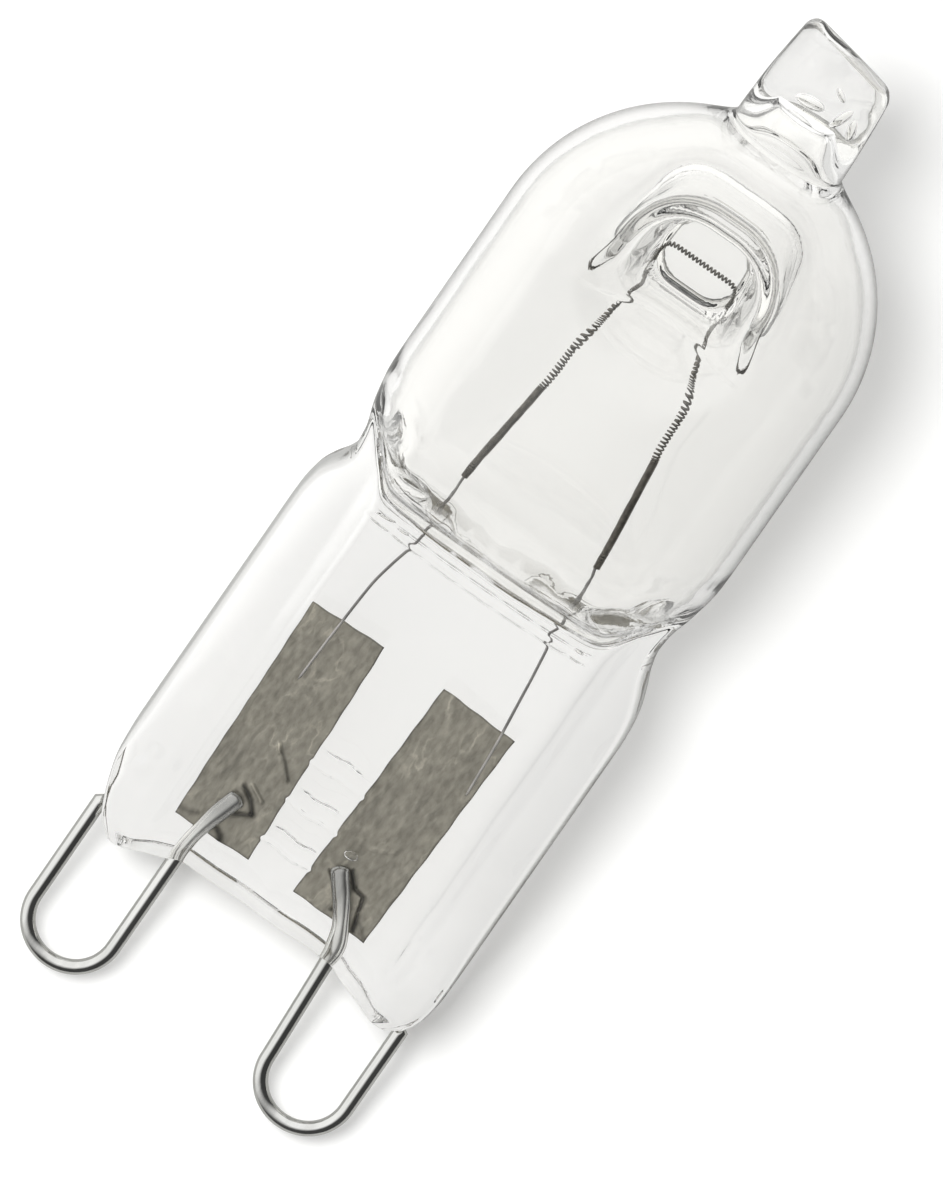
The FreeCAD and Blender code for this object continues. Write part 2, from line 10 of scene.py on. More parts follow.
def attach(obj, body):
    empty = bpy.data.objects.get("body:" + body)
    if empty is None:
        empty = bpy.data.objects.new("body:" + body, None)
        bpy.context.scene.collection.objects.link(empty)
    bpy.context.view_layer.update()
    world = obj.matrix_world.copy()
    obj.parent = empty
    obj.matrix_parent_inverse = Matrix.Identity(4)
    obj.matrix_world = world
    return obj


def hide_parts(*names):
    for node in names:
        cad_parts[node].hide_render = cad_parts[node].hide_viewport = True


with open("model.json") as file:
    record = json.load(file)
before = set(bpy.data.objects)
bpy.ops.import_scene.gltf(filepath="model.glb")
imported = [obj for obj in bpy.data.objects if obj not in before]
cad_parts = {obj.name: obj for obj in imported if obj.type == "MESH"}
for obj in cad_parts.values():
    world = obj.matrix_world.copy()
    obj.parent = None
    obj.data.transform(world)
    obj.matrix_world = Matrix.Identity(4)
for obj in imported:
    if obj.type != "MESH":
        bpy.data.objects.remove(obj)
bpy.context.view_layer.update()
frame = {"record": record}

MM = 0.001
LOOP_PLANE = 0.195              # the contact loops lie this far in front of the middle plane
FOIL_PLANE = -0.06              # and the foils this far behind it

# glass outline: (height, half width) on each side, (x, rise) along the lower edge
FOOT_Z = 4.76
FOOT_ROUND = 0.15
FOOT_REACH = 9.5                # the lower edge's shape fades out up to this height
LEFT_SIDE = [
    (4.76, 4.80), (4.84, 5.15), (5.05, 5.45), (5.40, 5.78), (6.00, 6.05), (6.60, 6.25),
    (7.50, 6.47), (8.60, 6.54), (10.0, 6.545), (17.0, 6.545), (17.7, 6.53), (18.45, 6.42),
    (18.9, 6.22), (19.3, 5.95), (19.8, 5.77), (20.4, 5.82), (21.4, 6.12), (22.6, 6.30),
    (23.6, 6.32), (29.3, 6.32),
]
RIGHT_SIDE = [
    (4.76, 5.05), (4.82, 5.45), (4.97, 5.80), (5.25, 6.14), (5.85, 6.42), (6.70, 6.53),
    (8.00, 6.545), (16.4, 6.545), (17.2, 6.50), (17.8, 6.40), (18.4, 6.20), (19.1, 5.93),
    (19.8, 5.80), (20.4, 5.84), (21.4, 6.10), (22.6, 6.30), (23.6, 6.32), (29.3, 6.32),
]
LOWER_EDGE = [
    (-5.05, 0.00), (-4.76, 0.10), (-4.19, 0.33), (-3.50, 0.56), (-2.90, 0.80), (-2.0, 0.83),
    (-0.8, 0.79), (0.6, 0.83), (1.8, 0.79), (2.70, 0.80), (3.30, 0.56), (4.08, 0.26),
    (4.55, 0.06), (4.80, 0.00),
]
DOME_Z = 29.3
DOME_R = 6.32
WALL = 0.4
FLAT_BLEND = 1.2                # rounding where the flattened front meets the round sides
FLAT_SHARE = 0.9                # and its largest share of the front's depth

# seal: a web between two rails
WEB_HALF = 1.5
RAIL_HALF = 1.9
LEFT_RAMP = (4.05, 4.75)        # the slopes of the rails, across the lamp
RIGHT_RAMP = (4.5, 5.15)
RAIL_ROUND = 0.06
EDGE_ROUND = 0.28
FOOT_EDGE_ROUND = 0.14
EDGE_GROWS = (7.0, 9.5)         # the edge gets its full rounding between these heights
FOOT_FADE = (4.9, 6.9)          # the rails rise between these heights
SEAL_FADE = (23.5, 20.0)        # the seal runs out in the bulb between these heights
SEAL_BLEND = 0.25               # rounding where the seal meets the bulb

# marks of the press: (height, rise) of the ridges, and the edge where the press ended
# a wave is given as rise, pace in radians per millimetre and shift
RIDGES = ((10.78, 0.12), (9.27, 0.13), (7.81, 0.13), (6.75, 0.05))
RIDGE_WIDTH = 0.06
RIDGE_MIDDLE = 0.22
RIDGE_REACH = 0.86
RIDGE_END = 6                   # power that sets how abruptly a ridge ends
RIDGE_WANDER = (0.05, 5)
RIDGE_WANDER_SHIFT = 3          # times the ridge's height
RIDGE_UNEVEN = (0.5, 16)
PRESS_EDGE_Z = 18.25
PRESS_EDGE_SAG = 0.2
PRESS_EDGE_RISE = 0.15
PRESS_EDGE_WIDTH = 0.07
PRESS_EDGE_ENDS = (4.4, 3.8)    # the edge fades out between these places across the lamp
PRESS_EDGE_UNEVEN = (0.5, 7, 1)
PRESS_EDGE_SWELL = (1, 2.3)
SLOW_WAVE = (0.016, 1.3)        # waves of the pressed glass
SLOW_WAVE_BEND = (1, 1.1)
SLOW_WAVE_ACROSS = (1, 1.7, 0.6)
FAST_WAVE = (0.010, 2.9)
FAST_WAVE_SLANT = 1.9
WAVE_FADE = (20.0, 16.0)
NUB_PLACE = (5.5, 7.6)
NUB_RISE = 0.06
NUB_RIM = (0.32, 0.14)
OVAL_PLACE = (-5.55, 6.6)
OVAL_HALF = (0.55, 1.0)
OVAL_RISE = 0.05
OVAL_RIM = (1.05, 0.7)          # in shares of its half sizes

# opening of the flat web into the bulb, and the wall there
TAPER_BASE = 18.15
TAPER_LENGTH = 6.6
TAPER_RISE = 0.05
TAPER_SHARE = 0.8
TAPER_WALL = 0.45
TAPER_SHIFT = 0.2               # the gas space opens this much higher up
SHOULDER_X = 4.1                # the bulb starts higher up beyond this, along a slanting crease
SHOULDER_SLANT = 1.2
SHOULDER_ROUND = 0.3

# dimple that holds the filament
DIMPLE_Z = 31.0
DIMPLE_HALF = (1.65, 1.35)      # half width and half height of its end
CUP_CORNER = 0.8
FUNNEL_CORNER = 1.3
DIMPLE_SPREAD = 0.48
DIMPLE_OPEN = 1.9               # how much wider the spread gets towards the base
DIMPLE_OPENS = (31.0, 28.4)
DIMPLE_CUP = 0.3                # share of the depth with steep walls all round
CUP_SPREAD = 0.35
DIMPLE_WALL = 0.17              # how much narrower the dent in the outer skin is
DIMPLE_OUTER = 0.83             # half depth of the outer skin at the dimple's end
DIMPLE_GAP = 0.14               # and of the gas space

# stub, with the remains of its closed channel
STUB_TOP = 39.12
STUB_SLANT = 0.2
STUB_SLANTS = (35.0, 39.0)      # the slant of the end grows between these heights
STUB_CORNER = 0.5
STUB_ROUND = 0.15
NECK_BLEND = 0.9
NECK_FRONT = [
    (29.3, 6.32), (30.4, 6.22), (31.4, 5.95), (32.4, 5.45), (33.4, 4.72), (34.4, 3.74), (35.2, 2.80),
    (35.7, 2.26), (36.1, 1.96), (36.6, 1.73), (37.4, 1.42), (38.4, 1.00), (39.2, 0.64),
]
LEFT_STUB = [(33.0, 1.92), (35.6, 1.92), (36.7, 1.88), (38.1, 1.74), (39.2, 1.60)]
RIGHT_STUB = [(33.0, 2.08), (35.6, 2.08), (36.7, 2.04), (38.1, 1.96), (39.2, 1.86)]
ROUND_POWER = 2                 # powers of the section, round in the dome and a slab in the stub
SLAB_POWER = 5
SLAB_FROM = (35.2, 37.0)        # one turns into the other between these heights

# gas space
GAS_BASE = 18.75
GAS_ROUND = 0.3
GAS_LOW = 21.5                  # the uneven bottom fades out up to this height
GAS_SAG = 0.45
GAS_SAG_HALF = 4.4
GAS_WANDER = ((0.02, 2.3), (0.008, 7))              # waves of the bottom's line
GAS_UNEVEN = ((0.05, 1.7, 0.8), (0.02, 5.1))        # and of the depth there
GAS_SIDE = [
    (18.75, 3.9), (18.82, 4.1), (19.0, 4.3), (19.4, 4.6), (19.9, 4.9), (20.5, 5.2), (21.3, 5.58),
    (22.2, 5.83), (23.2, 5.92), (29.3, 5.92),
]
GAS_TOP = 36.55                 # the space narrows into the stub and ends here
GAS_TOP_ROUND = 0.2
GAS_NECK = [(33.0, 1.6), (35.2, 1.6), (36.0, 1.35), (36.55, 1.0)]
GAS_NECK_BLEND = 0.5
GAS_END = [(34.4, 3.34), (35.2, 2.40), (35.7, 1.80), (36.1, 1.20), (36.4, 0.60), (36.55, 0.3)]

# voids in the glass: centre, half sizes, turn in degrees
BUBBLES = [
    ((0.15, 0.1, 36.95), (0.50, 0.16, 0.22), -8),
    ((-0.92, 0.2, 37.10), (0.15, 0.09, 0.46), 20),
    ((-1.32, 0.1, 36.95), (0.12, 0.08, 0.36), -8),
    ((-0.50, -0.1, 37.65), (0.26, 0.08, 0.11), 35),
    ((-1.53, 0.35, 8.78), (0.24, 0.10, 0.15), -8),
    ((-3.75, 0.2, 18.50), (0.17, 0.12, 0.12), 20),
    ((3.7, 0.1, 18.48), (0.42, 0.16, 0.10), -18),
    ((2.95, 0.2, 18.42), (0.22, 0.12, 0.08), -10),
]

# grids of the glass: (height, spacing up to the next height), closest where the form is fine
OUTER_ROWS = [
    (FOOT_Z + FOOT_ROUND, 0.3), (6.5, 0.05), (7.9, 0.2), (8.9, 0.05), (9.5, 0.2), (10.5, 0.05),
    (11.05, 0.45), (16.4, 0.2), (17.8, 0.05), (18.7, 0.12), (22.6, 0.2), (27.4, 0.08), (34.2, 0.08),
    (36.0, 0.15), (STUB_TOP - STUB_CORNER, 0.1),
]
OUTER_COLUMNS = 109
OUTER_END_ROWS = 12
GAS_ROWS = [(GAS_BASE + GAS_ROUND, 0.1), (22.6, 0.25), (27.4, 0.1), (GAS_TOP - GAS_TOP_ROUND, 0.1)]
GAS_COLUMNS = 85
GAS_BASE_ROWS = 9
GAS_TOP_ROWS = 8


def lamp_matrix():
    mount = frame["record"]["mounts"][0]
    axis = -Vector(mount["axis"]).normalized()
    aside = Vector((0, 1, 0))
    front = axis.cross(aside)
    origin = Vector(mount["pos_m"]) - front * LOOP_PLANE * MM
    return Matrix.Translation(origin) @ Matrix((aside, front, axis)).transposed().to_4x4()


LAMP = lamp_matrix()


def curve(points, at):
    """Smooth curve through (position, value) points that never runs past them."""
    t, v = np.array(points, float).T
    step = np.diff(t)
    slope = np.diff(v) / step
    tangent = np.zeros_like(v)
    same = slope[:-1] * slope[1:] > 0
    a, b = slope[:-1][same], slope[1:][same]
    tangent[1:-1][same] = 2 * a * b / (a + b)
    tangent[0], tangent[-1] = slope[0], slope[-1]
    at = np.clip(at, t[0], t[-1])
    i = np.clip(np.searchsorted(t, at) - 1, 0, len(step) - 1)
    s = (at - t[i]) / step[i]
    rise = s * s * (3 - 2 * s)
    return (v[i] + (v[i + 1] - v[i]) * rise
            + step[i] * (tangent[i] * s * (1 - s) ** 2 - tangent[i + 1] * s * s * (1 - s)))


def ripple(at, rise, pace, shift=0.0):
    return rise * np.sin(at * pace + shift)


def smooth_step(low, high, value):
    s = np.clip((value - low) / (high - low), 0, 1)
    return s * s * (3 - 2 * s)


def smooth_min(a, b, blend):
    h = np.clip(0.5 + (b - a) / blend / 2, 0, 1)
    return b + (a - b) * h - blend * h * (1 - h)


def smooth_max(a, b, blend):
    return -smooth_min(-a, -b, blend)


def soft_ramp(low, high, value, rounding):
    """Straight rise from 0 to 1 between low and high with rounded ends."""
    rise = np.hypot(value - low, rounding) - np.hypot(value - high, rounding)
    return (rise / (high - low) + 1) / 2


def add_piece(name, points, faces, material, node, shade=None):
    """A piece from points in the lamp's frame; shade is a value per point for its material."""
    mesh = bpy.data.meshes.new(name)
    mesh.from_pydata((np.asarray(points) * MM).tolist(), [], faces)
    mesh.transform(LAMP)
    mesh.shade_smooth()
    mesh.materials.append(material)
    if shade is not None:
        mesh.attributes.new("darkening_and_painted_light", "FLOAT", "POINT").data.foreach_set("value", np.ravel(shade))
    piece = bpy.data.objects.new(name, mesh)
    bpy.context.scene.collection.objects.link(piece)
    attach(piece, "root")
    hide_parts(node)
    return piece


# glass

def row_heights(stops):
    """Heights from (height, spacing to the next stop) pairs."""
    rows = []
    for (low, spacing), (high, _) in zip(stops, stops[1:]):
        rows.append(np.linspace(low, high, max(1, round((high - low) / spacing)), endpoint=False))
    return np.concatenate(rows + [[stops[-1][0]]])


def end_heights(end, reach, count):
    """Heights that crowd towards a rounded end; the reach is negative at an upper end."""
    turn = np.linspace(0, math.pi / 2, count, endpoint=False)
    heights = end + reach * (1 - np.cos(turn))
    return heights if reach > 0 else heights[::-1]


def rounded_end(distance, reach):
    """Share of the full depth at a distance from an edge that is rounded over a reach."""
    s = np.clip(distance / reach, 0, 1)
    return np.sqrt(s * (2 - s))


def across(columns):
    """Ways across a section from -1 to 1, evenly spread round a circle."""
    return np.sin(np.linspace(-math.pi / 2, math.pi / 2, columns))[None, :]


def taper(z):
    """Half depth of the bulb seen from the side, where the flat web opens into the round."""
    rise = DOME_R + TAPER_RISE - WEB_HALF
    radius = (rise ** 2 + TAPER_LENGTH ** 2) / rise / 2
    outer, inner = radius * TAPER_SHARE, radius * (1 - TAPER_SHARE)
    bend = TAPER_BASE + TAPER_LENGTH * (1 - TAPER_SHARE)
    low = np.clip(z, TAPER_BASE, bend) - TAPER_BASE
    high = TAPER_BASE + TAPER_LENGTH - np.clip(z, bend, TAPER_BASE + TAPER_LENGTH)
    hollow = WEB_HALF + inner - np.sqrt(inner ** 2 - low ** 2)
    crown = WEB_HALF + rise - outer + np.sqrt(outer ** 2 - high ** 2)
    return np.where(z < bend, hollow, crown)


def shoulder(x):
    """How much higher the bulb starts at a place across the lamp."""
    beyond = np.abs(x) - SHOULDER_X
    return SHOULDER_SLANT * (np.hypot(beyond, SHOULDER_ROUND) + beyond) / 2


def dome_half(z, radius):
    return np.sqrt(np.clip(radius ** 2 - np.clip(z - DOME_Z, 0, radius) ** 2, 0, None))


def section_half(half, u, front):
    """Half depth of a round section flattened to the depth of its front."""
    blend = np.minimum(FLAT_BLEND, FLAT_SHARE * front)
    return smooth_min(half * np.sqrt(np.clip(1 - u ** 2, 0, None)), front, blend)


def side_half(z, side, stub):
    """Half width of the outer outline on one side."""
    body = np.where(z < DOME_Z, curve(side, z), dome_half(z, DOME_R))
    neck = np.where(z > stub[0][0], curve(stub, z), 0)
    corner = STUB_CORNER * (1 - rounded_end(STUB_TOP - z, STUB_CORNER))
    return smooth_max(body, neck - corner, NECK_BLEND)


def dimple_distance(x, z, corner):
    """Distance outside the dimple's end, a rectangle with rounded corners."""
    dx = np.abs(x) - (DIMPLE_HALF[0] - corner)
    dz = np.abs(z - DIMPLE_Z) - (DIMPLE_HALF[1] - corner)
    inside = np.minimum(np.maximum(dx, dz), 0)
    return np.hypot(np.maximum(dx, 0), np.maximum(dz, 0)) + inside - corner


def dimple_share(x, z, inset):
    """How far the wall is pressed in: 1 on the dimple's end, 0 far from it."""
    cup = np.maximum(dimple_distance(x, z, CUP_CORNER) + inset, 0) / CUP_SPREAD
    reach = DIMPLE_SPREAD * (1 + DIMPLE_OPEN * smooth_step(*DIMPLE_OPENS, z))
    funnel = np.maximum(dimple_distance(x, z, FUNNEL_CORNER) + inset, 0) / reach
    return DIMPLE_CUP * np.exp(-cup ** 2) + (1 - DIMPLE_CUP) * np.exp(-funnel ** 2)


def pressed(depth, end, share):
    return depth - (depth - end) * share * (depth > end)


def press_marks(x, z):
    """Low ridges left by the press between the foils, and the edge where the press ended."""
    marks = np.zeros_like(x)
    between = np.exp(-((x - RIDGE_MIDDLE) / RIDGE_REACH) ** RIDGE_END)
    for height, rise in RIDGES:
        line = height + ripple(x, *RIDGE_WANDER, height * RIDGE_WANDER_SHIFT)
        uneven = 1 + ripple(x, *RIDGE_UNEVEN, height)
        marks += rise * between * uneven * np.exp(-((z - line) / RIDGE_WIDTH) ** 2)
    edge = PRESS_EDGE_Z + PRESS_EDGE_SAG * (x / PRESS_EDGE_ENDS[0]) ** 2
    lip = 1 + ripple(x, *PRESS_EDGE_UNEVEN) * ripple(x, *PRESS_EDGE_SWELL)
    line = np.exp(-((z - edge) / PRESS_EDGE_WIDTH) ** 2)
    return marks + PRESS_EDGE_RISE * lip * line * smooth_step(*PRESS_EDGE_ENDS, np.abs(x))


def seal_relief(x, z):
    """Uneven surface of the pressed glass, with a nub on the left rail and an oval pad on the right."""
    wave = ripple(z, *SLOW_WAVE, ripple(x, *SLOW_WAVE_BEND)) * ripple(x, *SLOW_WAVE_ACROSS)
    wave = wave + ripple(z, *FAST_WAVE, x * FAST_WAVE_SLANT)
    wave = wave * smooth_step(*WAVE_FADE, z)
    nub_x, nub_z = NUB_PLACE
    nub = NUB_RISE * smooth_step(*NUB_RIM, np.hypot(x - nub_x, z - nub_z))
    oval_x, oval_z = OVAL_PLACE
    from_oval = np.hypot((x - oval_x) / OVAL_HALF[0], (z - oval_z) / OVAL_HALF[1])
    return wave + nub + OVAL_RISE * smooth_step(*OVAL_RIM, from_oval)


def seal_depth(x, u, z, half):
    """Half depth of the pressed seal: a web between two rails that run up into the bulb."""
    left = soft_ramp(*LEFT_RAMP, x, RAIL_ROUND)
    right = soft_ramp(*RIGHT_RAMP, -x, RAIL_ROUND)
    rail = (RAIL_HALF - WEB_HALF) * (left + right) * smooth_step(*FOOT_FADE, z)
    depth = WEB_HALF + rail + seal_relief(x, z)
    reach = FOOT_EDGE_ROUND + (EDGE_ROUND - FOOT_EDGE_ROUND) * smooth_step(*EDGE_GROWS, z)
    return depth * rounded_end(half * (1 - np.abs(u)), reach) * smooth_step(*SEAL_FADE, z)


def stub_section(u, z):
    """Half depth from the dome to the stub's end, round at first and then a rounded slab."""
    power = ROUND_POWER + (SLAB_POWER - ROUND_POWER) * smooth_step(*SLAB_FROM, z)
    return curve(NECK_FRONT, z) * np.clip(1 - np.abs(u) ** power, 0, None) ** (1 / power)


def outer_half(x, u, z, half):
    """Half depth of the outer skin."""
    bulb = section_half(half, u, taper(z - shoulder(x)))
    body = smooth_max(bulb, seal_depth(x, u, z, half), SEAL_BLEND)
    depth = np.where(z > DOME_Z, stub_section(u, z), body + press_marks(x, z))
    return pressed(depth, DIMPLE_OUTER, dimple_share(x, z, DIMPLE_WALL))


def closed_skin(x, y, z, outward):
    """Points and faces of a front and a back sheet y and -y that share their border."""
    rows, columns = x.shape
    front = np.arange(rows * columns).reshape(rows, columns)
    back = front.copy()
    inner = (rows - 2) * (columns - 2)
    back[1:-1, 1:-1] = rows * columns + np.arange(inner).reshape(rows - 2, columns - 2)
    border = np.ones_like(x, bool)
    border[1:-1, 1:-1] = False
    y = np.where(border, 0, y)
    points = np.stack([x, y, z], -1).reshape(-1, 3)
    mirror = np.stack([x, -y, z], -1)[1:-1, 1:-1].reshape(-1, 3)
    faces = []
    for grid, forward in ((front, outward), (back, not outward)):
        quads = grid_quads(grid)
        faces.append(quads if forward else quads[:, ::-1])
    return np.concatenate([points, mirror]), np.concatenate(faces)


def grid_quads(grid):
    return np.stack([grid[:-1, :-1], grid[1:, :-1], grid[1:, 1:], grid[:-1, 1:]], -1).reshape(-1, 4)


def outer_skin():
    heights = np.concatenate([
        end_heights(FOOT_Z, FOOT_ROUND, OUTER_END_ROWS), row_heights(OUTER_ROWS),
        end_heights(STUB_TOP, -STUB_CORNER, OUTER_END_ROWS)])[:, None]
    u = across(OUTER_COLUMNS)
    left = side_half(heights, LEFT_SIDE, LEFT_STUB)
    right = side_half(heights, RIGHT_SIDE, RIGHT_STUB)
    half = (left + right) / 2
    x = (left - right) / 2 + half * u
    drop = 1 - smooth_step(FOOT_Z, FOOT_REACH, heights)
    z = heights + curve(LOWER_EDGE, x) * drop
    depth = outer_half(x, u, np.maximum(z, FOOT_Z), half)
    depth = depth * rounded_end(heights - FOOT_Z, FOOT_ROUND) * rounded_end(STUB_TOP - heights, STUB_ROUND)
    return closed_skin(x, depth, z + STUB_SLANT * x * smooth_step(*STUB_SLANTS, heights), True)


def gas_half(x, u, z, half):
    """Half depth of the gas space."""
    bulb = taper(z - TAPER_SHIFT - shoulder(x)) - TAPER_WALL
    front = np.minimum(bulb, curve(NECK_FRONT, z) - WALL)
    front = np.where(z > GAS_END[0][0], curve(GAS_END, z), front)
    return pressed(section_half(half, u, front), DIMPLE_GAP, dimple_share(x, z, 0.0))


def gas_skin():
    heights = np.concatenate([
        end_heights(GAS_BASE, GAS_ROUND, GAS_BASE_ROWS), row_heights(GAS_ROWS)[:-1],
        end_heights(GAS_TOP, -GAS_TOP_ROUND, GAS_TOP_ROWS)])[:, None]
    u = across(GAS_COLUMNS)
    dome = smooth_max(dome_half(heights, DOME_R - WALL), curve(GAS_NECK, heights), GAS_NECK_BLEND)
    half = np.where(heights < DOME_Z, curve(GAS_SIDE, heights), dome)
    x = half * u
    low = 1 - smooth_step(GAS_BASE, GAS_LOW, heights)
    uneven = 1 + low * (ripple(x, *GAS_UNEVEN[0]) + ripple(x, *GAS_UNEVEN[1]))
    ends = rounded_end(heights - GAS_BASE, GAS_ROUND) * rounded_end(GAS_TOP - heights, GAS_TOP_ROUND)
    depth = gas_half(x, u, heights + 0 * u, half) * ends * uneven
    sag = GAS_SAG * (x / GAS_SAG_HALF) ** 2 + ripple(x, *GAS_WANDER[0]) + ripple(x, *GAS_WANDER[1])
    return closed_skin(x, depth, heights + sag * low, False)


def bubble(centre, half, turn):
    """Skin of an egg-shaped void, turned in the lamp's front plane."""
    rows, columns = 15, 24
    up = np.linspace(0, math.pi, rows)[1:-1, None]
    way = np.linspace(0, 2 * math.pi, columns, endpoint=False)[None, :]
    ring = np.stack([np.sin(up) * np.cos(way), np.sin(up) * np.sin(way), np.cos(up) + 0 * way], -1)
    ball = np.concatenate([ring.reshape(-1, 3), [[0, 0, 1], [0, 0, -1]]]) * half
    angle = math.radians(turn)
    x = ball[:, 0] * math.cos(angle) - ball[:, 2] * math.sin(angle)
    z = ball[:, 0] * math.sin(angle) + ball[:, 2] * math.cos(angle)
    points = np.stack([x, ball[:, 1], z], -1) + centre
    return points, [tuple(reversed(face)) for face in tube_faces(rows - 2, columns)]


def make_glass(material):
    skins = [outer_skin(), gas_skin()] + [bubble(*place) for place in BUBBLES]
    points, faces = [], []
    count = 0
    for skin_points, skin_faces in skins:
        faces += [tuple(int(i) + count for i in face) for face in skin_faces]
        points.append(skin_points)
        count += len(skin_points)
    return add_piece("quartz_envelope", np.concatenate(points), faces, material, "glass_envelope")


# rods

END_RING = 0.002                # keeps the last ring of a rounded end open


def smooth_path(points, count):
    """Evenly spaced points on a smooth line through the given ones."""
    points = np.array(points, float)
    way = way_along(points)
    fine = np.linspace(0, way[-1], count)
    return np.stack([curve(list(zip(way, points[:, i])), fine) for i in range(points.shape[1])], -1)


def way_along(path):
    return np.concatenate([[0], np.cumsum(np.linalg.norm(np.diff(path, axis=0), axis=1))])


def tube(path, across_half, depth_half, sides):
    """A closed rod along a path in the lamp's xz plane."""
    path = np.asarray(path, float)
    along = np.gradient(path, axis=0)
    along /= np.linalg.norm(along, axis=1)[:, None]
    front = np.array([0.0, 1.0, 0.0])
    front = front - along * (along @ front)[:, None]
    front /= np.linalg.norm(front, axis=1)[:, None]
    aside = np.cross(along, front)
    turn = np.linspace(0, 2 * math.pi, sides, endpoint=False)
    across_half = np.broadcast_to(across_half, len(path))[:, None, None]
    depth_half = np.broadcast_to(depth_half, len(path))[:, None, None]
    ring = (aside[:, None] * np.cos(turn)[None, :, None] * across_half
            + front[:, None] * np.sin(turn)[None, :, None] * depth_half)
    points = (path[:, None] + ring).reshape(-1, 3)
    return np.concatenate([points, path[:1], path[-1:]]), tube_faces(len(path), sides)


def tube_faces(rings, sides):
    faces = []
    for ring in range(rings - 1):
        for side in range(sides):
            near, far = ring * sides + side, ring * sides + (side + 1) % sides
            faces.append((near, near + sides, far + sides, far))
    first, last = rings * sides, rings * sides + 1
    for side in range(sides):
        after = (side + 1) % sides
        faces.append((first, side, after))
        faces.append((last, (rings - 1) * sides + after, (rings - 1) * sides + side))
    return faces


def wire_radius(path, radius, tip):
    """Half size along a rod whose two ends are rounded."""
    way = way_along(path)
    return radius * rounded_end(np.minimum(way, way[-1] - way) + END_RING, tip)


# contact loops

LOOP_INNER = 3.0                # the two legs, across the lamp
LOOP_OUTER = 6.0
LOOP_BEND_Z = 1.753             # centre of each loop's bend
LEG_STEPS = 24
BEND_STEPS = 49
LEAN_STEPS = 40
LEAN_Z = 5.7                    # the inner leg leans over from here
LEAN_RISE = 2.6
LEAN_EASE = 0.6                 # how much of the lean eases out at its end
WIRE_RADIUS = 0.25
WIRE_TIP = 0.18
WIRE_SIDES = 28
WELD_FROM = (6.4, 7.8)          # the wire gets flat between these heights
WELD_WIDER = 0.25
WELD_FLATTER = 0.3
# the flattened weld end is made darker by this share
WELD_DARKENING = 0.5
PADDLE_Z = 6.1
PADDLE_REACH = 0.55
# height of the free end, how far the inner leg leans over, and its slant before that
LEFT_LOOP = {"free_end": 5.7, "lean": 0.58, "slant": 0.0}
RIGHT_LOOP = {"free_end": 5.05, "lean": 1.40, "slant": -0.05}
LEFT_PADDLE = 0.0               # how much wider the wire swells below its weld
RIGHT_PADDLE = 0.3


def loop_path(side, free_end, lean, slant):
    """Centre line of one contact loop from its free outer end to the weld on the foil."""
    middle, bend = (LOOP_INNER + LOOP_OUTER) / 2, (LOOP_OUTER - LOOP_INNER) / 2
    line = [(LOOP_OUTER, z) for z in np.linspace(free_end, LOOP_BEND_Z, LEG_STEPS, endpoint=False)]
    for angle in np.linspace(0, math.pi, BEND_STEPS):
        line.append((middle + bend * math.cos(angle), LOOP_BEND_Z - bend * math.sin(angle)))
    for z in np.linspace(LOOP_BEND_Z, LEAN_Z, LEG_STEPS)[1:]:
        line.append((LOOP_INNER + slant * (z - LOOP_BEND_Z), z))
    start = LOOP_INNER + slant * (LEAN_Z - LOOP_BEND_Z)
    for s in np.linspace(0, 1, LEAN_STEPS)[1:]:
        line.append((start - lean * s * s * (1 + LEAN_EASE - LEAN_EASE * s), LEAN_Z + LEAN_RISE * s))
    return np.array([(side * x, LOOP_PLANE, z) for x, z in line])


def make_loop(name, node, side, place, paddle, material):
    """A bent wire; its welded end is flattened, with a paddle-shaped swelling below it."""
    path = loop_path(side, **place)
    height = path[:, 2]
    radius = wire_radius(path, WIRE_RADIUS, WIRE_TIP)
    second = np.arange(len(path)) > len(path) / 2
    weld = smooth_step(*WELD_FROM, height) * second
    swell = paddle * np.exp(-((height - PADDLE_Z) / PADDLE_REACH) ** 2) * second
    wide = radius * (1 + WELD_WIDER * weld + swell)
    points, faces = tube(path, wide, radius * (1 - WELD_FLATTER * weld), WIRE_SIDES)
    weld_darkening = np.concatenate([np.repeat(WELD_DARKENING * weld, WIRE_SIDES), [0, WELD_DARKENING]])
    return add_piece(name, points, faces, material, node, weld_darkening)


# inner leads: (x, z) from the filament's tail to the end on the foil

LEFT_LEAD = [
    (2.10, 23.2), (2.33, 20.7), (2.37, 19.2), (2.42, 18.4), (2.66, 17.3), (2.82, 16.4), (2.92, 15.1),
    (3.03, 12.45),
]
RIGHT_LEAD = [
    (2.42, 23.2), (2.63, 20.7), (2.74, 20.2), (2.79, 19.0), (2.65, 18.35), (2.82, 18.1), (2.97, 17.1),
    (3.16, 15.5), (3.30, 14.2), (3.42, 12.45),
]
LEAD_RADIUS = 0.048
LEAD_TIP = 0.05
LEAD_STEPS = 60
LEAD_SIDES = 12
LEAD_PAINTED_HIGHLIGHT = (14.95, 14.75)    # the lead gets a painted highlight between these heights, on the foil


def make_lead(name, node, side, line, material):
    path = smooth_path([(side * x, 0.0, z) for x, z in line], LEAD_STEPS)
    radius = wire_radius(path, LEAD_RADIUS, LEAD_TIP)
    points, faces = tube(path, radius, radius, LEAD_SIDES)
    # painted highlight on the lead where it lies on the foil, and on its end there
    painted_highlight = np.repeat(-smooth_step(*LEAD_PAINTED_HIGHLIGHT, path[:, 2]), LEAD_SIDES)
    return add_piece(name, points, faces, material, node, np.concatenate([painted_highlight, [0, -1]]))


# foils, with their creases round the welds: line, width, rise, and painted shade along the crease,
# negative for a painted highlight

FOIL_HALF = (1.39, 4.1)
FOIL_Z = 10.75
FOIL_THICK = 0.02               # half thickness
FOIL_GRID = (85, 241)
FOIL_RAGGED = (0.010, 5)        # waves of the long and the short edges
FOIL_BENT = (0.012, 6)
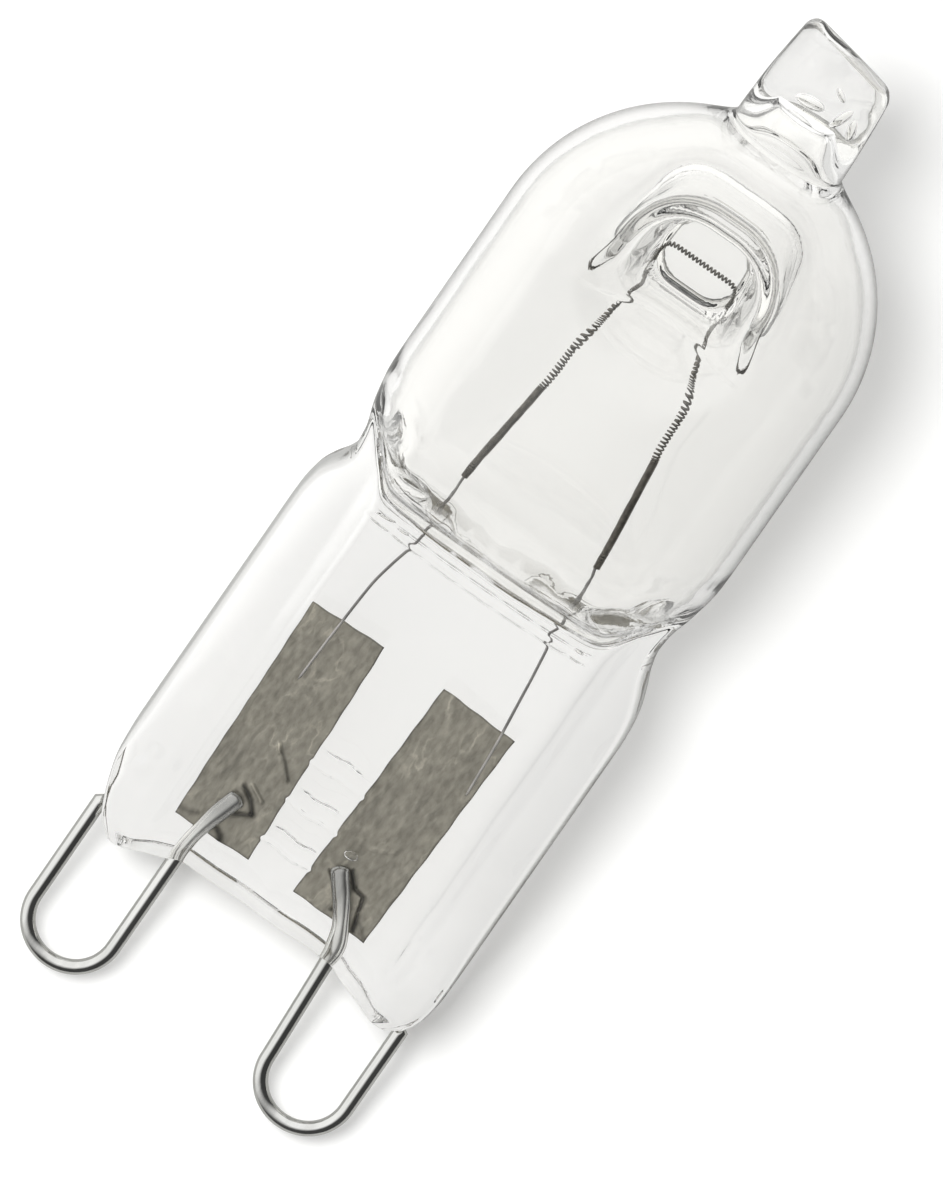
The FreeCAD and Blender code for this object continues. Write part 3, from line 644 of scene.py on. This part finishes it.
# wrinkles as paces across and along, and rise
FOIL_WRINKLES = ((0.9, 0.35, 0.020), (3.0, 0.9, 0.010), (9.0, 2.2, 0.004))
WRINKLES_APART = 7              # keeps the two foils' wrinkles unlike
EDGE_DARKENING = (0.8, 0.6)          # darker on the long and the short edges
EDGE_DARKENING_WIDTH = 0.06
# place across the lamp, lean in degrees, and the seed of the wrinkles
LEFT_FOIL = {"middle": 2.6, "lean": 1.9, "seed": 0.4}
RIGHT_FOIL = {"middle": -2.18, "lean": -1.9, "seed": 2.1}
LEFT_CREASES = [
    ([(2.80, 6.65), (2.62, 7.45), (2.33, 7.60), (1.80, 7.97)], 0.07, 0.05, 0.9),
    ([(1.80, 7.97), (2.10, 8.35), (2.33, 8.50), (2.55, 8.62)], 0.07, 0.05, 0.9),
    ([(2.46, 6.95), (2.30, 6.85), (2.20, 6.70)], 0.10, 0.06, 0.9),
    ([(2.33, 8.79), (1.79, 8.50)], 0.06, 0.05, -0.5),
    ([(2.30, 10.3), (1.95, 10.0), (1.50, 9.55)], 0.07, 0.05, 0.35),
    ([(2.36, 10.4), (2.20, 10.15)], 0.05, 0.06, -0.7),
    ([(3.30, 7.0), (3.80, 6.85)], 0.10, 0.04, 0.4),
]
RIGHT_CREASES = [
    ([(-1.35, 8.02), (-1.75, 7.75), (-2.13, 7.46), (-2.15, 6.93)], 0.07, 0.10, -0.9),
    ([(-1.25, 7.95), (-1.65, 7.62), (-2.00, 7.40), (-2.00, 6.90)], 0.05, -0.04, 0.9),
    ([(-1.83, 8.36), (-2.24, 7.92), (-2.59, 7.85), (-2.94, 6.73)], 0.06, 0.06, 0.9),
    ([(-1.53, 9.1), (-1.53, 8.5)], 0.35, 0.0, 0.25),
    ([(-2.95, 7.0), (-3.3, 6.7)], 0.10, 0.04, 0.3),
    ([(-2.6, 9.6), (-1.9, 9.3), (-1.4, 9.35)], 0.10, 0.015, -0.15),
]


def foil_wrinkles(x, z, seed):
    """Shallow dents and fine wrinkles along the strip."""
    lift = np.zeros_like(x)
    for wide, long, rise in FOIL_WRINKLES:
        spots = np.stack([x * wide, z * long, np.full_like(x, seed * WRINKLES_APART + wide)], -1)
        lift += rise * np.array([perlin(spot) for spot in spots.reshape(-1, 3)]).reshape(x.shape)
    return lift


def line_distance(x, z, line):
    """Distance to a line of straight runs."""
    least = np.full_like(x, np.inf)
    for (x0, z0), (x1, z1) in zip(line, line[1:]):
        dx, dz = x1 - x0, z1 - z0
        s = np.clip(((x - x0) * dx + (z - z0) * dz) / (dx * dx + dz * dz), 0, 1)
        least = np.minimum(least, np.hypot(x - x0 - s * dx, z - z0 - s * dz))
    return least


def foil_places(x, z, middle, lean, seed):
    """Where the points of a strip with slightly ragged edges lie across and along the lamp."""
    ragged = x + ripple(z, *FOIL_RAGGED, seed) * np.abs(x) / FOIL_HALF[0]
    bent = z + ripple(x, *FOIL_BENT, seed) * np.abs(z) / FOIL_HALF[1]
    angle = math.radians(lean)
    return (middle + ragged * math.cos(angle) + bent * math.sin(angle),
            FOIL_Z + bent * math.cos(angle) - ragged * math.sin(angle))


# darker along the foil's long and short edges
def edge_darkening(x, z):
    from_side, from_end = FOIL_HALF[0] - np.abs(x), FOIL_HALF[1] - np.abs(z)
    return (EDGE_DARKENING[0] * smooth_step(EDGE_DARKENING_WIDTH, 0.0, from_side)
            + EDGE_DARKENING[1] * smooth_step(EDGE_DARKENING_WIDTH, 0.0, from_end))


def make_foil(name, node, place, creases, material):
    """A crumpled strip, creased round the weld, with painted shade and highlights along the creases and
    darker edges.
    """
    x, z = np.meshgrid(*(np.linspace(-half, half, count) for half, count in zip(FOIL_HALF, FOIL_GRID)))
    place_x, place_z = foil_places(x, z, **place)
    lift = foil_wrinkles(x, z, place["seed"])
    darkening_and_painted_light = edge_darkening(x, z)
    # each crease gets painted shade; a negative value paints a highlight instead
    for line, width, rise, painted_shade in creases:
        near = np.exp(-(line_distance(place_x, place_z, line) / width) ** 2)
        lift = lift + rise * near
        darkening_and_painted_light = darkening_and_painted_light + painted_shade * near
    points = [np.stack([place_x, FOIL_PLANE + lift + offset, place_z], -1).reshape(-1, 3)
              for offset in (FOIL_THICK, -FOIL_THICK)]
    darkening_and_painted_light = np.clip(darkening_and_painted_light, -1, 1).ravel()
    return add_piece(name, np.concatenate(points), slab_faces(*x.shape), material, node,
                     np.concatenate([darkening_and_painted_light, darkening_and_painted_light]))


def slab_faces(rows, columns):
    """Faces of two grids, front first, closed along their border; the back's is turned to face away."""
    front = np.arange(rows * columns).reshape(rows, columns)
    back = front + rows * columns
    border = np.concatenate([front[0, :-1], front[:-1, -1], front[-1, :0:-1], front[:0:-1, 0]])
    after = np.roll(border, -1)
    rim = np.stack([border, after, after + rows * columns, border + rows * columns], -1)
    return np.concatenate([grid_quads(front), grid_quads(back.T), rim]).tolist()


# filament: x, z, coil radius and pitch, from each tail to the middle of the crossing

FILAMENT_LEFT = [
    (2.33, 20.7, 0.13, 0.062), (1.97, 24.5, 0.13, 0.062), (1.90, 25.0, 0.14, 0.15),
    (1.76, 27.4, 0.14, 0.15), (1.76, 28.1, 0.12, 0.10), (1.55, 28.6, 0.11, 0.075),
    (1.42, 28.95, 0.11, 0.07), (1.48, 29.5, 0.11, 0.07), (1.52, 30.2, 0.11, 0.07),
    (1.38, 30.68, 0.10, 0.10), (1.0, 30.85, 0.10, 0.14),
]
FILAMENT_RIGHT = [
    (2.67, 20.7, 0.13, 0.062), (2.27, 24.7, 0.13, 0.062), (2.2, 25.1, 0.14, 0.15),
    (2.02, 27.3, 0.14, 0.15), (1.90, 28.0, 0.12, 0.10), (1.66, 28.6, 0.11, 0.075),
    (1.55, 29.2, 0.11, 0.07), (1.52, 30.2, 0.11, 0.07), (1.38, 30.68, 0.10, 0.10),
    (1.0, 30.85, 0.10, 0.14),
]
FILAMENT_STEPS = 6000
COIL_WIRE = 0.033
COIL_SIDES = 6
COIL_POINTS = 14                # for each turn
COIL_START = (0.3, 0.8, 0.5)    # sets how the wire's section starts; not along the wire


def coil_path():
    """Centre line of the fine wire, coiled along the filament's line."""
    right = [(-x, z, radius, pitch) for x, z, radius, pitch in reversed(FILAMENT_RIGHT)]
    x, z, radius, pitch = smooth_path(FILAMENT_LEFT + right, FILAMENT_STEPS).T
    step = np.hypot(np.gradient(x), np.gradient(z))
    phase = np.cumsum(step / pitch) * 2 * math.pi
    count = np.arange(len(phase))
    keep = np.interp(np.arange(0, phase[-1], 2 * math.pi / COIL_POINTS), phase, count)
    x, z, radius, phase = (np.interp(keep, count, value) for value in (x, z, radius, phase))
    along = np.stack([np.gradient(x), np.gradient(z)], -1)
    along /= np.linalg.norm(along, axis=1)[:, None]
    out = radius - COIL_WIRE
    return np.stack([x + along[:, 1] * np.cos(phase) * out, np.sin(phase) * out,
                     z - along[:, 0] * np.cos(phase) * out], -1)


def make_filament(material):
    points, faces = transported_tube(coil_path(), COIL_WIRE, COIL_SIDES)
    return add_piece("filament_coil", points, faces, material, "filament")


def transported_tube(path, radius, sides):
    """A closed round rod along any path, its section carried along without twist."""
    along = np.gradient(path, axis=0)
    along /= np.linalg.norm(along, axis=1)[:, None]
    aside = np.zeros_like(path)
    aside[0] = np.cross(along[0], COIL_START)
    for i in range(1, len(path)):
        aside[i] = aside[i - 1] - along[i] * (along[i] @ aside[i - 1])
    aside /= np.linalg.norm(aside, axis=1)[:, None]
    third = np.cross(aside, along)
    turn = np.linspace(0, 2 * math.pi, sides, endpoint=False)
    ring = aside[:, None] * np.cos(turn)[None, :, None] + third[:, None] * np.sin(turn)[None, :, None]
    points = (path[:, None] + ring * radius).reshape(-1, 3)
    return np.concatenate([points, path[:1], path[-1:]]), tube_faces(len(path), sides)


# materials

CLEAR = (0.99, 0.987, 0.972)        # tint of the quartz seen straight on
GRAZING_PAINTED_SHADE = (0.42, 0.42, 0.412)       # and along its surface, a painted shade that draws grey outlines on the glass's edges
PAINTED_SHADE_FROM = (0.71, 0.85)         # where one turns into the other
QUARTZ_IOR = 1.458
QUARTZ_WAVES = (900, (1, 1, 3))     # scale and stretch
QUARTZ_RELIEF = (0.05, 0.0001)      # strength and distance
MOTTLE_COARSER = 5                  # how much coarser a metal's mottling is than its grain
MOTTLE_DETAIL = 3.0
GRAIN_DETAIL = 6.0
GRAIN_SHARE = 0.6                   # shares of the grain and of the mottling in the colour
MOTTLE_SHARE = 0.4
METAL_STOPS = (0.36, 0.64)
GRAIN_RELIEF = 0.4
PAINT_GAIN = (1.9, 0.1)              # colour gain where the mesh paints light (-1) and where it paints shade or darkens (+1)
STREAK_GAIN = 0.38                  # extra light on the foils' thin streaks
STREAK_WIDTH = 0.035
STREAK_DETAIL = 5.0
STREAK_PATCHES = (0.48, 0.62)       # streaks show where a broader noise is above these
STREAK_PATCH_SCALE = 0.7
STREAK_PATCH_DETAIL = 1.0
METALS = {
    "contact_wire": {
        "low": (0.70, 0.70, 0.675), "high": (0.88, 0.88, 0.855), "rough": (0.10, 0.18),
        "grain": (2500, (1, 1, 8)), "depth": 0.00001},
    "lead_wire": {
        "low": (0.22, 0.215, 0.21), "high": (0.38, 0.37, 0.36), "rough": (0.3, 0.45),
        "grain": (4000, (1, 1, 3)), "depth": 0.000005},
    "foil": {
        "low": (0.265, 0.25, 0.21), "high": (0.465, 0.441, 0.375), "rough": (0.34, 0.5),
        "grain": (5000, (1, 1, 2)), "depth": 0.00003, "streaks": (1300, (1, 1, 1.8))},
    "tungsten": {
        "low": (0.12, 0.115, 0.10), "high": (0.24, 0.225, 0.20), "rough": (0.35, 0.5),
        "grain": (6000, (1, 1, 1)), "depth": 0.000003},
}


def new_material(name):
    material = bpy.data.materials.new(name)
    material.use_nodes = True
    nodes = material.node_tree.nodes
    return material, nodes, material.node_tree.links, nodes["Principled BSDF"]


def noise(nodes, links, scale, stretch=(1, 1, 1), detail=3.0):
    """Noise in the lamp's own frame; the stretch lengthens it along an axis."""
    where = nodes.new("ShaderNodeTexCoord")
    mapping = nodes.new("ShaderNodeMapping")
    mapping.vector_type = "TEXTURE"
    mapping.inputs["Location"].default_value = LAMP.translation
    mapping.inputs["Rotation"].default_value = LAMP.to_euler()
    mapping.inputs["Scale"].default_value = stretch
    texture = nodes.new("ShaderNodeTexNoise")
    texture.inputs["Scale"].default_value = scale
    texture.inputs["Detail"].default_value = detail
    links.new(where.outputs["Object"], mapping.inputs["Vector"])
    links.new(mapping.outputs["Vector"], texture.inputs["Vector"])
    return texture.outputs["Fac"]


def ramp(nodes, links, value, low, high, stops=(0.3, 0.7)):
    shade = nodes.new("ShaderNodeValToRGB")
    shade.color_ramp.elements[0].position = stops[0]
    shade.color_ramp.elements[1].position = stops[1]
    shade.color_ramp.elements[0].color = (*low, 1)
    shade.color_ramp.elements[1].color = (*high, 1)
    links.new(value, shade.inputs["Fac"])
    return shade.outputs["Color"]


def spread(nodes, links, value, low, high, span=(0.3, 0.7)):
    node = nodes.new("ShaderNodeMapRange")
    node.inputs["From Min"].default_value = span[0]
    node.inputs["From Max"].default_value = span[1]
    node.inputs["To Min"].default_value = low
    node.inputs["To Max"].default_value = high
    links.new(value, node.inputs["Value"])
    return node.outputs["Result"]


def math_node(nodes, links, operation, first, second):
    node = nodes.new("ShaderNodeMath")
    node.operation = operation
    for socket, value in zip(node.inputs, (first, second)):
        if isinstance(value, bpy.types.NodeSocket):
            links.new(value, socket)
        else:
            socket.default_value = value
    return node.outputs["Value"]


def relief(nodes, links, shader, value, strength, distance):
    node = nodes.new("ShaderNodeBump")
    node.inputs["Strength"].default_value = strength
    node.inputs["Distance"].default_value = distance
    links.new(value, node.inputs["Height"])
    links.new(node.outputs["Normal"], shader.inputs["Normal"])


def veins(nodes, links, scale, stretch):
    """Patchy thin lines, where one noise crosses its middle value."""
    offset = math_node(nodes, links, "SUBTRACT", noise(nodes, links, scale, stretch, STREAK_DETAIL), 0.5)
    distance = math_node(nodes, links, "ABSOLUTE", offset, 0.0)
    line = spread(nodes, links, distance, 1.0, 0.0, (0.0, STREAK_WIDTH))
    broad = noise(nodes, links, scale * STREAK_PATCH_SCALE, stretch, STREAK_PATCH_DETAIL)
    patch = spread(nodes, links, broad, 0.0, 1.0, STREAK_PATCHES)
    return math_node(nodes, links, "MULTIPLY", line, patch)


def with_painted_light_and_darkening(nodes, links, colour, streaks):
    """The colour darkened where the mesh's value is positive (painted shade in the foils' creases, darker
    foil edges and welds), lighter where it is negative (painted highlights on creases and leads) and on
    streaks.
    """
    darkening_and_painted_light = nodes.new("ShaderNodeAttribute")
    darkening_and_painted_light.attribute_name = "darkening_and_painted_light"
    gain = spread(nodes, links, darkening_and_painted_light.outputs["Fac"], *PAINT_GAIN, (-1, 1))
    if streaks:
        light = math_node(nodes, links, "MULTIPLY", veins(nodes, links, *streaks), STREAK_GAIN)
        gain = math_node(nodes, links, "ADD", gain, light)
    scale = nodes.new("ShaderNodeVectorMath")
    scale.operation = "SCALE"
    links.new(colour, scale.inputs["Vector"])
    links.new(gain, scale.inputs["Scale"])
    return scale.outputs["Vector"]


def quartz():
    material, nodes, links, shader = new_material("quartz")
    # painted shade: the colour darkens towards grazing views, drawing grey outlines along every edge of
    # the glass
    edge = nodes.new("ShaderNodeLayerWeight")
    edge.inputs["Blend"].default_value = 0.5
    tint = ramp(nodes, links, edge.outputs["Facing"], CLEAR, GRAZING_PAINTED_SHADE, PAINTED_SHADE_FROM)
    links.new(tint, shader.inputs["Base Color"])
    shader.inputs["Roughness"].default_value = 0.0
    shader.inputs["IOR"].default_value = QUARTZ_IOR
    shader.inputs["Transmission Weight"].default_value = 1.0
    relief(nodes, links, shader, noise(nodes, links, *QUARTZ_WAVES), *QUARTZ_RELIEF)
    return material


def metal(name, low, high, rough, grain, depth, streaks=None):
    """A metal with grain and streaks, each given as (scale, stretch), on top of broader mottling."""
    material, nodes, links, shader = new_material(name)
    shader.inputs["Metallic"].default_value = 1.0
    scale, stretch = grain
    fine = noise(nodes, links, scale, stretch, GRAIN_DETAIL)
    broad = noise(nodes, links, scale / MOTTLE_COARSER, stretch, MOTTLE_DETAIL)
    mixed = math_node(nodes, links, "ADD", math_node(nodes, links, "MULTIPLY", fine, GRAIN_SHARE),
                      math_node(nodes, links, "MULTIPLY", broad, MOTTLE_SHARE))
    colour = ramp(nodes, links, mixed, low, high, METAL_STOPS)
    links.new(with_painted_light_and_darkening(nodes, links, colour, streaks), shader.inputs["Base Color"])
    links.new(spread(nodes, links, broad, *rough), shader.inputs["Roughness"])
    relief(nodes, links, shader, fine, GRAIN_RELIEF, depth)
    return material


# stage, light and camera in metres; directions are right and up in the main view, and height

LAMP_TURN = math.radians(55.2)      # direction of the lamp's axis in the main view
VIEW_SCALE = 31.67                  # photograph pixels per millimetre
VIEW_SIZE = 1200                    # photograph height in pixels
VIEW_CENTRE = (-0.04, 0.0, 17.66)   # the lamp's point at the middle of the view, in millimetres
VIEW_DISTANCE = 0.6
SENSOR = 36.0
CLIP = (0.05, 10.0)
BRIGHT_SIDE = 0.85                  # light from the studio's left and from overhead
DARK_SIDE = 0.15                    # light from the right
SOFT_TOWARDS = (-0.76, 0.53, 0.37)
SOFT_SPAN = (-0.25, 0.32)
METAL_LIGHT = (0.05, 1.0)           # the studio seen in metal, right and left
METAL_TOWARDS = (-0.53, 0.76, 0.37)
METAL_SPAN = (0.0, 0.40)
KEY_POWER = 0.55
KEY_SIZE = 0.12
KEY_DISTANCE = 0.3
KEY_TOWARDS = (-0.20, 0.14, 0.97)
FLOOR_SIZE = 3.0
FLOOR = (0.9, 0.9, 0.89)
# the floor's colour through glass and in metal's reflections: dimmed through glass so that its glow sets
# what the glass shows, and darker in metal as a painted dark reflection
FLOOR_THROUGH_GLASS = (0.31, 0.31, 0.306)
FLOOR_IN_METAL = (0.42, 0.42, 0.41)
FLOOR_GLOW = 0.12                   # the floor's own light for rays from the camera
GLASS_GLOW = (0.42, 0.73)           # the same for rays through glass, right and left of the lamp: painted shade, darker on the lamp's right
GLASS_SPAN = (-0.010, -0.004)       # where the floor has these two, across the lamp
GLOSSY_BOUNCES = 8


def view_direction(right, up, height):
    return Vector((right * math.cos(LAMP_TURN) + up * math.sin(LAMP_TURN),
                   up * math.cos(LAMP_TURN) - right * math.sin(LAMP_TURN), height))


def metal_ray(nodes, links, path):
    """1 for a reflected ray; rays through glass count as glossy too."""
    glossy, through = path.outputs["Is Glossy Ray"], path.outputs["Is Transmission Ray"]
    mirrored = math_node(nodes, links, "SUBTRACT", glossy, through)
    return math_node(nodes, links, "MAXIMUM", mirrored, 0.0)


def floor_tint(nodes, links, path):
    """Colour of the floor for the camera, through glass and in reflections, where it is darker: a painted
    dark reflection in metal.
    """
    tint = nodes.new("ShaderNodeMix")
    tint.data_type = "RGBA"
    plain = ramp(nodes, links, path.outputs["Is Transmission Ray"], FLOOR, FLOOR_THROUGH_GLASS)
    links.new(metal_ray(nodes, links, path), tint.inputs["Factor"])
    links.new(plain, tint.inputs["A"])
    tint.inputs["B"].default_value = (*FLOOR_IN_METAL, 1)
    return tint.outputs["Result"]


def floor_glow(nodes, links, path):
    """Light of the floor itself for rays from the camera and through glass; through glass it falls off
    across the lamp, painted shade on the lamp's right side.
    """
    plain = math_node(nodes, links, "MULTIPLY", path.outputs["Is Camera Ray"], FLOOR_GLOW)
    where = nodes.new("ShaderNodeTexCoord")
    place = nodes.new("ShaderNodeSeparateXYZ")
    links.new(where.outputs["Object"], place.inputs["Vector"])
    glow_with_painted_shade = spread(nodes, links, place.outputs["Y"], *GLASS_GLOW, GLASS_SPAN)
    glass = math_node(nodes, links, "MULTIPLY", path.outputs["Is Transmission Ray"], glow_with_painted_shade)
    return math_node(nodes, links, "MAXIMUM", plain, glass)


def floor_material():
    material, nodes, links, shader = new_material("floor")
    nodes.remove(shader)
    path = nodes.new("ShaderNodeLightPath")
    diffuse = nodes.new("ShaderNodeBsdfDiffuse")
    links.new(floor_tint(nodes, links, path), diffuse.inputs["Color"])
    glow = nodes.new("ShaderNodeEmission")
    glow.inputs["Color"].default_value = (1, 1, 1, 1)
    links.new(floor_glow(nodes, links, path), glow.inputs["Strength"])
    both = nodes.new("ShaderNodeAddShader")
    links.new(diffuse.outputs["BSDF"], both.inputs[0])
    links.new(glow.outputs["Emission"], both.inputs[1])
    links.new(both.outputs["Shader"], nodes["Material Output"].inputs["Surface"])
    return material


def make_floor():
    size = FLOOR_SIZE
    corners = [(-size, -size, 0), (size, -size, 0), (size, size, 0), (-size, size, 0)]
    mesh = bpy.data.meshes.new("floor")
    mesh.from_pydata(corners, [], [(0, 1, 2, 3)])
    mesh.materials.append(floor_material())
    floor = bpy.data.objects.new("floor", mesh)
    bpy.context.scene.collection.objects.link(floor)


def side_light(nodes, links, towards, strengths, span):
    """Light that grows towards a direction."""
    where = nodes.new("ShaderNodeTexCoord")
    facing = nodes.new("ShaderNodeVectorMath")
    facing.operation = "DOT_PRODUCT"
    facing.inputs[1].default_value = view_direction(*towards)
    links.new(where.outputs["Generated"], facing.inputs[0])
    return spread(nodes, links, facing.outputs["Value"], *strengths, span)


def make_world():
    """Pale studio, bright on the left and overhead and dim on the right."""
    world = bpy.data.worlds.new("studio")
    world.use_nodes = True
    bpy.context.scene.world = world
    nodes, links = world.node_tree.nodes, world.node_tree.links
    soft = side_light(nodes, links, SOFT_TOWARDS, (DARK_SIDE, BRIGHT_SIDE), SOFT_SPAN)
    sharp = side_light(nodes, links, METAL_TOWARDS, METAL_LIGHT, METAL_SPAN)
    path = nodes.new("ShaderNodeLightPath")
    light = nodes.new("ShaderNodeMix")
    links.new(metal_ray(nodes, links, path), light.inputs["Factor"])
    links.new(soft, light.inputs["A"])
    links.new(sharp, light.inputs["B"])
    links.new(light.outputs["Result"], nodes["Background"].inputs["Strength"])
    nodes["Background"].inputs["Color"].default_value = (1, 1, 1, 1)


def make_key():
    light = bpy.data.lights.new("key", "AREA")
    light.shape = "DISK"
    light.size = KEY_SIZE
    light.energy = KEY_POWER
    lamp = bpy.data.objects.new("key", light)
    bpy.context.scene.collection.objects.link(lamp)
    where = view_direction(*KEY_TOWARDS).normalized() * KEY_DISTANCE
    lamp.location = where
    lamp.visible_glossy = False
    lamp.visible_transmission = False
    lamp.rotation_mode = "QUATERNION"
    lamp.rotation_quaternion = (-where).to_track_quat("-Z", "Y")


def make_camera():
    data = bpy.data.cameras.new("camera")
    data.sensor_width = SENSOR
    height = VIEW_SIZE / VIEW_SCALE * MM
    data.lens = data.sensor_width * VIEW_DISTANCE / height
    data.clip_start, data.clip_end = CLIP
    camera = bpy.data.objects.new("camera", data)
    bpy.context.scene.collection.objects.link(camera)
    camera.location = LAMP @ (Vector(VIEW_CENTRE) * MM) + Vector((0, 0, VIEW_DISTANCE))
    camera.rotation_euler = (0, 0, -LAMP_TURN)
    bpy.context.scene.camera = camera


def make_lamp():
    make_glass(quartz())
    metals = {name: metal(name, **look) for name, look in METALS.items()}
    contact, lead, foil = metals["contact_wire"], metals["lead_wire"], metals["foil"]
    make_loop("loop_left", "contact_loop_left", 1, LEFT_LOOP, LEFT_PADDLE, contact)
    make_loop("loop_right", "contact_loop_right", -1, RIGHT_LOOP, RIGHT_PADDLE, contact)
    make_lead("lead_left", "inner_lead_left", 1, LEFT_LEAD, lead)
    make_lead("lead_right", "inner_lead_right", -1, RIGHT_LEAD, lead)
    make_foil("foil_left", "seal_foil_left", LEFT_FOIL, LEFT_CREASES, foil)
    make_foil("foil_right", "seal_foil_right", RIGHT_FOIL, RIGHT_CREASES, foil)
    make_filament(metals["tungsten"])


def set_render():
    """Plain colours, and glass that shows the floor unblurred."""
    scene = bpy.context.scene
    scene.view_settings.view_transform = "Standard"
    scene.cycles.blur_glossy = 0.0
    scene.cycles.glossy_bounces = GLOSSY_BOUNCES


make_floor()
make_world()
make_key()
make_camera()
make_lamp()
set_render()
